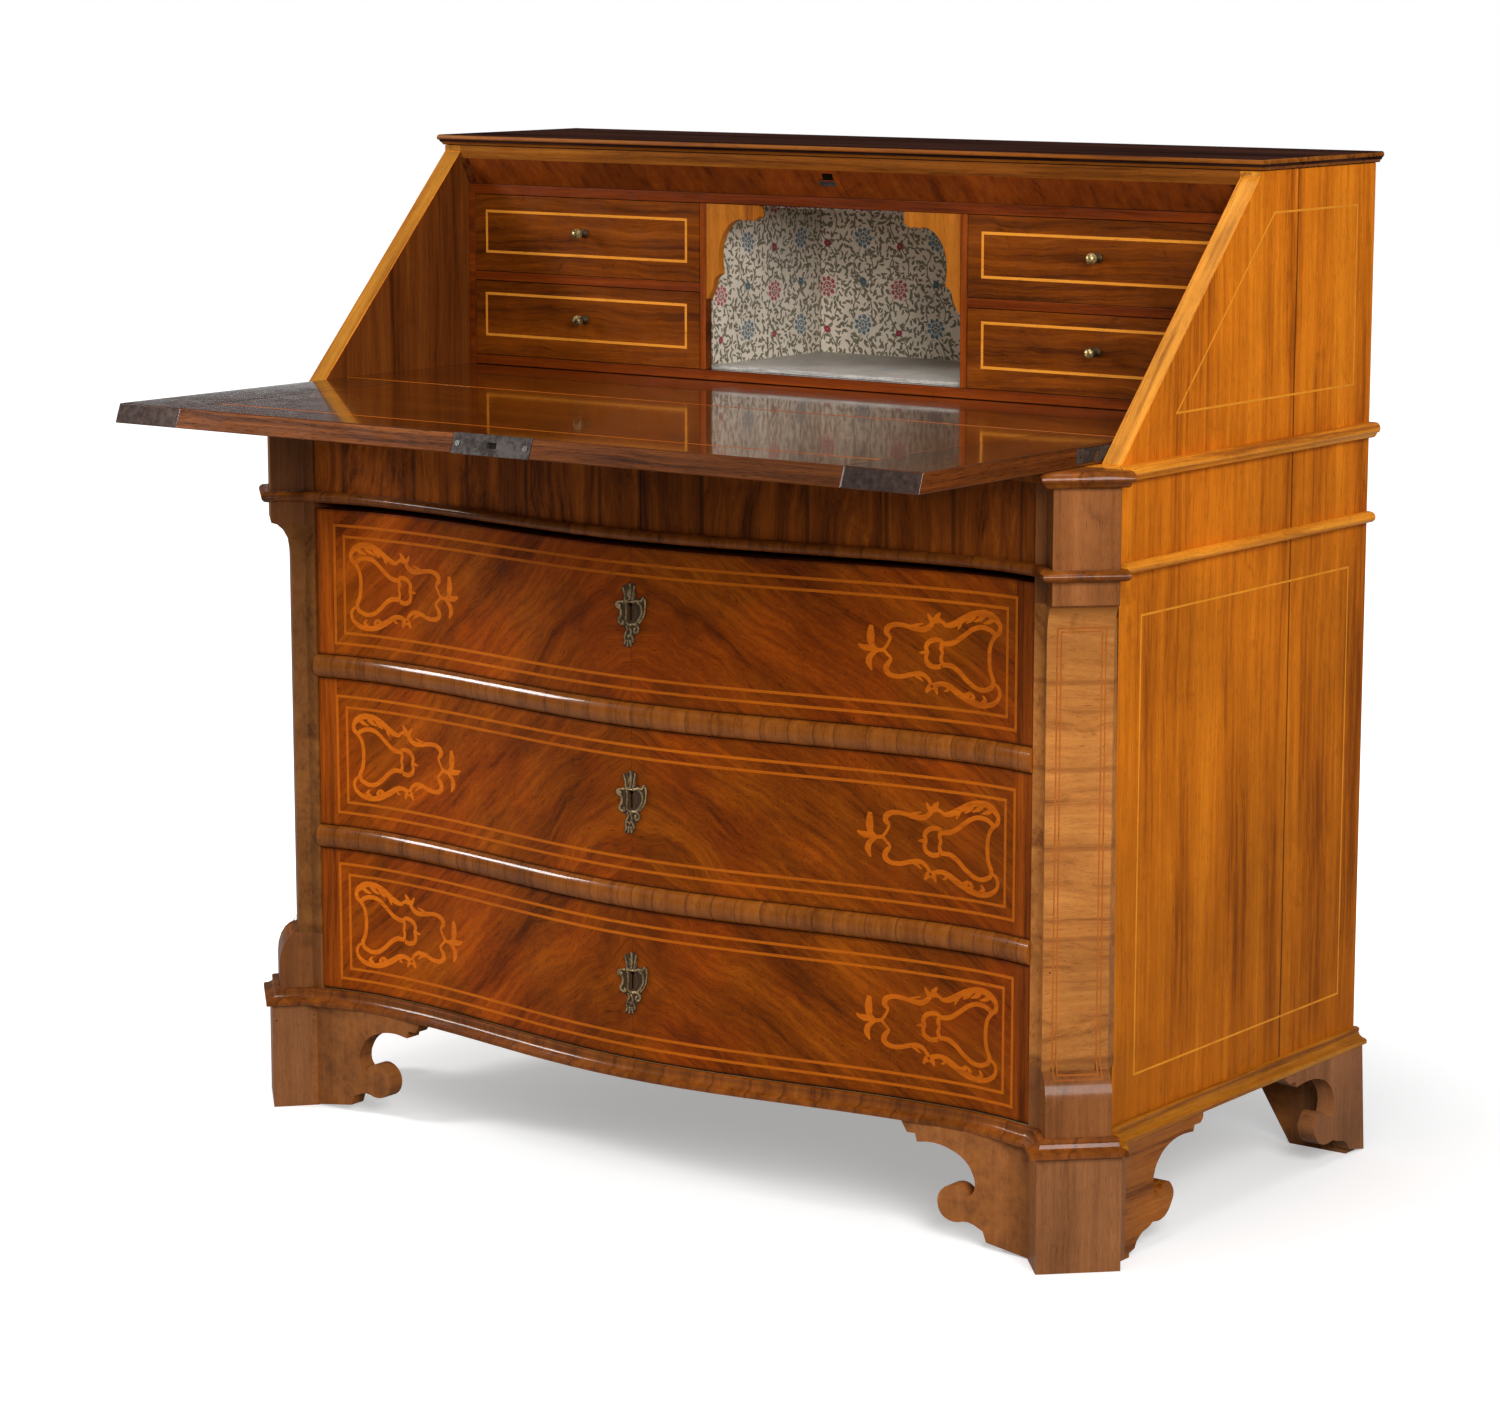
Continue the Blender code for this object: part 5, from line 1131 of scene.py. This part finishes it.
for number in numbers:
    node = "drawer_%d_escutcheon" % number
    low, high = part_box(node)
    shape = mergedSolid(node)
    chosen = {face for face in shape.faces if face.normal.y < -0.9}
    rims = [[Vector((v.x, v.z)) for v in loop] for loop in outerLoops(shape, chosen)]
    shape.free()
    key = sum(rims[1], Vector((0, 0))) / len(rims[1])
    middle = Vector(((low.x + high.x) / 2 - reliefLook["centre"], (low.z + high.z) / 2))
    fine = []
    for rim in rims:
        ring = []
        for a, b in zip(rim, rim[1:] + rim[:1]):
            steps = max(1, round((b - a).length / reliefLook["rim"]))
            ring += [a.lerp(b, i / steps) for i in range(steps)]
        fine.append(ring)
    spare = []
    step = reliefLook["grid"]
    for i in range(int((high.x - low.x) / step) + 1):
        for j in range(int((high.z - low.z) / step) + 1):
            point = Vector((low.x + (i + 0.5 * (j % 2)) * step, low.z + j * step))
            if inside(point, fine[0]) and not inside(point, fine[1]):
                if min((point - q).length_squared for ring in fine for q in ring) > (0.45 * step) ** 2:
                    spare.append(point)
    points = fine[0] + fine[1] + spare
    links, start = [], 0
    for ring in fine:
        links += [(start + i, start + (i + 1) % len(ring)) for i in range(len(ring))]
        start += len(ring)
    verts, _, found, _, _, _ = delaunay_2d_cdt(points, links, [], 0, 0.0000001)
    kept = [face for face in found if inside(sum((verts[i] for i in face), Vector((0, 0))) / 3,
        fine[0]) and not inside(sum((verts[i] for i in face), Vector((0, 0))) / 3, fine[1])]
    shape = bmesh.new()
    worn = shape.verts.layers.float.new("relief")
    rise = [reliefHeight((v.x - middle.x) * 1000, (v.y - middle.y) * 1000) / 1000 for v in verts]
    fronts = [shape.verts.new((v.x, high.y - r, v.y)) for v, r in zip(verts, rise)]
    backs = [shape.verts.new((v.x, high.y, v.y)) for v in verts]
    for face in kept:
        shape.faces.new([fronts[i] for i in face])
        shape.faces.new([backs[i] for i in reversed(face)])
    place = {v: i for i, v in enumerate(fronts)}
    rimEdges = [edge for edge in shape.edges if len(edge.link_faces) == 1 and edge.verts[0] in place]
    for v, r in zip(fronts, rise):
        v[worn] = r / reliefLook["full"]
    for edge in rimEdges:
        a, b = (place[v] for v in edge.verts)
        shape.faces.new([fronts[a], fronts[b], backs[b], backs[a]])
    bmesh.ops.delete(shape, geom=[v for v in shape.verts if not v.link_faces], context='VERTS')
    bmesh.ops.recalc_face_normals(shape, faces=shape.faces)
    piece = newPiece(node + "_chased", finishedMesh(shape, node + "_chased"), [metals["agedBrass"]])
    shadeByAngle(piece, 60)
    finishPiece(piece, "drawer_%d" % number, "aged_brass", node)
    # Painted shade behind the keyhole: a dark thin plate a little smaller than the hole
    rim = [key + (point - key) * reliefLook["share"] for point in rims[1]]
    mesh = bpy.data.meshes.new("drawer_%d_keyhole" % number)
    count = len(rim)
    ring = [(point.x, y, point.y) for y in (high.y + far for far in reliefLook["plate"]) for point in rim]
    walls = [(i, (i + 1) % count, count + (i + 1) % count, count + i) for i in range(count)]
    mesh.from_pydata(ring, [], [tuple(range(count)), tuple(range(2 * count - 1, count - 1, -1))] + walls)
    shape = bmesh.new()
    shape.from_mesh(mesh)
    bmesh.ops.recalc_face_normals(shape, faces=shape.faces)
    shape.to_mesh(mesh)
    shape.free()
    finishPiece(newPiece("drawer_%d_keyhole" % number, mesh, [woods["sootyWood"]]), "drawer_%d" % number,
        "dark_iron")
print("escutcheons ready")

# Printed cloth: rosettes and buds on a staggered repeat, ogee vines and scattered leaves
flowers, g, put, send = shaderGroup("flowerCloth", [("Vector", 'vector', None),
    ("Ground", 'colour', (0.6, 0.54, 0.42)), ("Leaf", 'colour', (0.12, 0.10, 0.05))],
    [("Color", 'colour'), ("Height", 'number')])
clothLook = {"across": 0.100, "up": 0.098, "vine": 0.013, "leaf": 0.0098,
    "red": ((0.40, 0.05, 0.075), (0.62, 0.22, 0.22)), "blue": ((0.085, 0.155, 0.20), (0.26, 0.37, 0.42))}
u, v = g.split(put["Vector"])[:2]
jog = g.times(g.minus(g.noise(put["Vector"], 120.0, 2.0), 0.5), 0.0045)
u = g.plus(u, jog)
v = g.minus(v, jog)
across, up = clothLook["across"], clothLook["up"]
weave = g.noise(g.stretch(put["Vector"], 900.0, 2600.0, 1.0), 1.0, 2.0)
shade = g.between(weave, 0.80, 1.20)
colour = g.scaled(put["Ground"], shade)


def fromCentres(moveU, moveV):
    # Distance and angle from the nearest centre of the repeat
    du = g.math('WRAP', g.plus(u, moveU), across / 2, -across / 2)
    dv = g.math('WRAP', g.plus(v, moveV), up / 2, -up / 2)
    return g.math('SQRT', g.plus(g.times(du, du), g.times(dv, dv))), g.math('ARCTAN2', dv, du)


vines = 0.0
for lean in (1.0, -1.0):
    bend = g.times(g.math('SINE', g.times(v, 2 * math.pi / up)), lean * clothLook["vine"])
    away = g.absolute(g.math('WRAP', g.minus(u, bend), across / 4, -across / 4))
    vines = g.math('MAXIMUM', vines, g.fade(away, 0.0005, 0.0011, 1.0, 0.0))
leaves = 0.0
for size, seed in ((1.0, 0.0), (0.72, 0.31)):
    moved = g.join(g.plus(u, seed), g.plus(v, seed), 0.0)
    cell = g.add('ShaderNodeTexVoronoi', {'Vector': moved, 'Scale': 1.0 / (clothLook["leaf"] * size),
        'Randomness': 0.9}, voronoi_dimensions='2D')
    du, dv = g.split(g.vector('SUBTRACT', moved, cell.outputs['Position']))[:2]
    draw = g.split(cell.outputs['Color'])
    turn = g.times(draw[0], 6.283)
    cosine, sine = g.math('COSINE', turn), g.math('SINE', turn)
    long = g.plus(g.times(du, cosine), g.times(dv, sine))
    wide = g.minus(g.times(dv, cosine), g.times(du, sine))
    wide = g.plus(wide, g.times(g.times(long, long), 85.0))
    long = g.math('DIVIDE', long, 0.0048 * size)
    wide = g.math('DIVIDE', wide, 0.0018 * size)
    reach = g.plus(g.times(long, long), g.times(wide, wide))
    there = g.math('GREATER_THAN', draw[1], 0.16)
    leaves = g.math('MAXIMUM', leaves, g.times(g.fade(reach, 0.7, 1.2, 1.0, 0.0), there))
green = g.math('MAXIMUM', vines, leaves)
leafTone = g.fade(g.noise(put["Vector"], 260.0, 2.0), 0.35, 0.65)
leafColour = g.blend(leafTone, put["Leaf"], (0.21, 0.19, 0.11))
colour = g.blend(g.times(green, 0.88), colour, leafColour)
for (inner, outer), moveU, moveV in ((clothLook["red"], 0.0, 0.0),
        (clothLook["blue"], across / 2, up * 0.42)):
    away, turn = fromCentres(moveU, moveV)
    petal = g.math('COSINE', g.times(turn, 9.0))
    rim = g.plus(0.0108, g.times(petal, 0.0013))
    clear = g.fade(away, 0.0126, 0.0145, 1.0, 0.0)
    colour = g.blend(g.times(clear, 0.75), colour, put["Ground"])
    flower = g.times(g.fade(g.minus(away, rim), -0.0005, 0.0004, 1.0, 0.0), g.fade(away, 0.0022, 0.0030))
    gaps = g.times(g.fade(petal, -0.95, -0.72), g.fade(g.absolute(g.minus(away, 0.0068)), 0.0002, 0.0007))
    tint = g.blend(g.fade(g.noise(put["Vector"], 420.0, 2.0), 0.42, 0.62), inner, outer)
    colour = g.blend(g.times(flower, gaps), colour, tint)
    colour = g.blend(g.fade(away, 0.0012, 0.0020, 0.9, 0.0), colour, put["Leaf"])
for (inner, outer), moveU, moveV in ((clothLook["blue"], across / 2, up * 0.92),
        (clothLook["red"], 0.0, up * 0.5)):
    away, turn = fromCentres(moveU, moveV)
    bud = g.fade(away, 0.0036, 0.0048, 1.0, 0.0)
    colour = g.blend(bud, colour, g.blend(g.fade(away, 0.0005, 0.0014, 1.0, 0.0), inner, outer))
send(Color=colour, Height=weave)

clothPieces = {"clothWall": {"ground": (0.94, 0.82, 0.67), "leaf": (0.085, 0.070, 0.032), "rough": 0.85,
    "veil": 0.0}, "clothFloor": {"ground": (0.42, 0.39, 0.34), "leaf": (0.17, 0.16, 0.13), "rough": 0.40,
    "veil": 0.7},}
cloths = {}
for name, look in clothPieces.items():
    material, g, where = newMaterial(name)
    place = g.add('ShaderNodeUVMap', uv_map="cloth").outputs[0]
    printed = g.use(flowers, Vector=place, Ground=look["ground"], Leaf=look["leaf"])
    streaks = g.noise(g.stretch(place, 30.0, 700.0, 1.0), 1.0, 4.0, 0.6)
    sheen = g.blend(g.fade(streaks, 0.35, 0.68), (0.30, 0.28, 0.25), (0.66, 0.64, 0.60))
    colour = g.blend(look["veil"], printed["Color"], sheen) if look["veil"] else printed["Color"]
    dustAndShade = g.fade(g.noise(place, 14.0, 4.0, 0.6), 0.3, 0.7, 0.86, 1.05)
    # painted shade on the left wall of the compartment, besides the random dust
    dustAndShade = g.times(dustAndShade, g.fade(g.split(where)[0], -0.1658, -0.1648, 0.70, 1.0))
    colour = g.scaled(colour, dustAndShade)
    cloths[name] = setSurface(material, g, printed["Height"], 0.0003, 0.4,
        {"Base Color": colour, "Roughness": look["rough"]})

clothStart = {"walls": (0.057, -0.018), "level": 0.031}     # offsets of the print on the sheets
low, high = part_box("compartment_lining")
shape = mergedSolid("compartment_lining")
sheet = shape.loops.layers.uv.new("cloth")
for face in shape.faces:
    centre = face.calc_center_median()
    ends = face.normal.y < -0.9 and centre.z < low.z + 0.004
    face.material_index = 1 if ends or (face.normal.z > 0.9 and centre.z < (low.z + high.z) / 2) else 0
    for loop in face.loops:
        x, y, z = loop.vert.co
        along, up = clothStart["walls"]
        if abs(face.normal.x) > 0.9:
            loop[sheet].uv = (x + math.copysign(high.y - y, x) + along, z + up)
        elif abs(face.normal.z) > 0.9:
            loop[sheet].uv = (x + clothStart["level"], y)
        else:
            loop[sheet].uv = (x + along, z + up)
piece = newPiece("compartment_cloth", finishedMesh(shape, "compartment_cloth"),
    [cloths["clothWall"], cloths["clothFloor"]])
finishPiece(piece, bodyOf("compartment_lining"), "lining_cloth", "compartment_lining")
print("cloth ready")

# Floor, light and camera
stageLook = {"floor": (0.80, 0.80, 0.80), "unseen": (0.34, 0.34, 0.34), "worldLight": 0.26,
    "worldMirror": 0.08, "glow": 0.36, "half": 14, "shadow": (0.22, 0.05, 0.0), "fade": (0.35, 1.6),
    "aim": (0.0, 0.0, 0.55)}
half = stageLook["half"]
mesh = bpy.data.meshes.new("floor")
mesh.from_pydata([(-half, -half, 0), (half, -half, 0), (half, half, 0), (-half, half, 0)], [],
    [(0, 1, 2, 3)])
material = bpy.data.materials.new("paleFloor")
material.use_nodes = True
tree = material.node_tree
g = Graph(tree)
shader = tree.nodes["Principled BSDF"]
shader.inputs["Roughness"].default_value = 0.9
shader.inputs["Specular IOR Level"].default_value = 0.0
seen = g.add('ShaderNodeLightPath').outputs
away = g.vector('LENGTH', g.vector('SUBTRACT', g.add('ShaderNodeTexCoord').outputs['Object'],
    stageLook["shadow"]))
glow = g.fade(away, *stageLook["fade"], stageLook["glow"], 1.0)
tree.links.new(g.blend(seen['Is Camera Ray'], stageLook["unseen"], stageLook["floor"]),
    shader.inputs["Base Color"])
tree.links.new(g.times(seen['Is Camera Ray'], glow), shader.inputs["Emission Strength"])
shader.inputs["Emission Color"].default_value = (1.0, 1.0, 1.0, 1.0)
floor = newPiece("floor", mesh, [material])
floor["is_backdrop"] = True

world = bpy.data.worlds.new("studio")
scene.world = world
world.use_nodes = True
g = Graph(world.node_tree)
ground = world.node_tree.nodes["Background"]
seen = g.add('ShaderNodeLightPath').outputs
dim = g.between(seen['Is Glossy Ray'], stageLook["worldLight"], stageLook["worldMirror"])
direct = g.math('MAXIMUM', seen['Is Camera Ray'], seen['Is Transmission Ray'])
world.node_tree.links.new(g.between(direct, dim, 1.0), ground.inputs["Strength"])
ground.inputs["Color"].default_value = (1.0, 1.0, 1.0, 1.0)

lampLooks = {
    "leftSoftbox": {"at": (-3.1, -1.6, 2.1), "size": 0.9, "watts": 75.0},
    "rightSoftbox": {"at": (2.6, -1.9, 1.9), "size": 1.5, "watts": 95.0},
    "topSoftbox": {"at": (0.2, -0.8, 3.6), "size": 2.0, "watts": 40.0},
    "backPanel": {"at": (-4.9, 4.6, 1.35), "size": 0.9, "tall": 0.11, "watts": 0.40},
}
for name, look in lampLooks.items():
    lamp = bpy.data.lights.new(name, 'AREA')
    lamp.shape = 'RECTANGLE'
    lamp.size = look["size"]
    lamp.size_y = look.get("tall", look["size"])
    lamp.energy = look["watts"]
    holder = bpy.data.objects.new(name, lamp)
    holder.location = look["at"]
    aim = Vector(stageLook["aim"]) - Vector(look["at"])
    holder.rotation_euler = aim.to_track_quat('-Z', 'Y').to_euler()
    holder.visible_camera = False
    scene.collection.objects.link(holder)

# The focal length is in pixels of a picture of this width
cameraLook = {"at": (2.6130, -3.4636, 1.2529), "turn": 36.824, "down": 10.062, "focal": 4140.9,
    "width": 1500, "sensor": 36}
lens = bpy.data.cameras.new("photoAngle")
lens.sensor_width = cameraLook["sensor"]
lens.lens = cameraLook["focal"] / cameraLook["width"] * cameraLook["sensor"]
camera = bpy.data.objects.new("photoAngle", lens)
camera.location = cameraLook["at"]
camera.rotation_euler = (math.radians(90 - cameraLook["down"]), 0, math.radians(cameraLook["turn"]))
scene.collection.objects.link(camera)
scene.camera = camera
print("stage ready")

low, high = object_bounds()
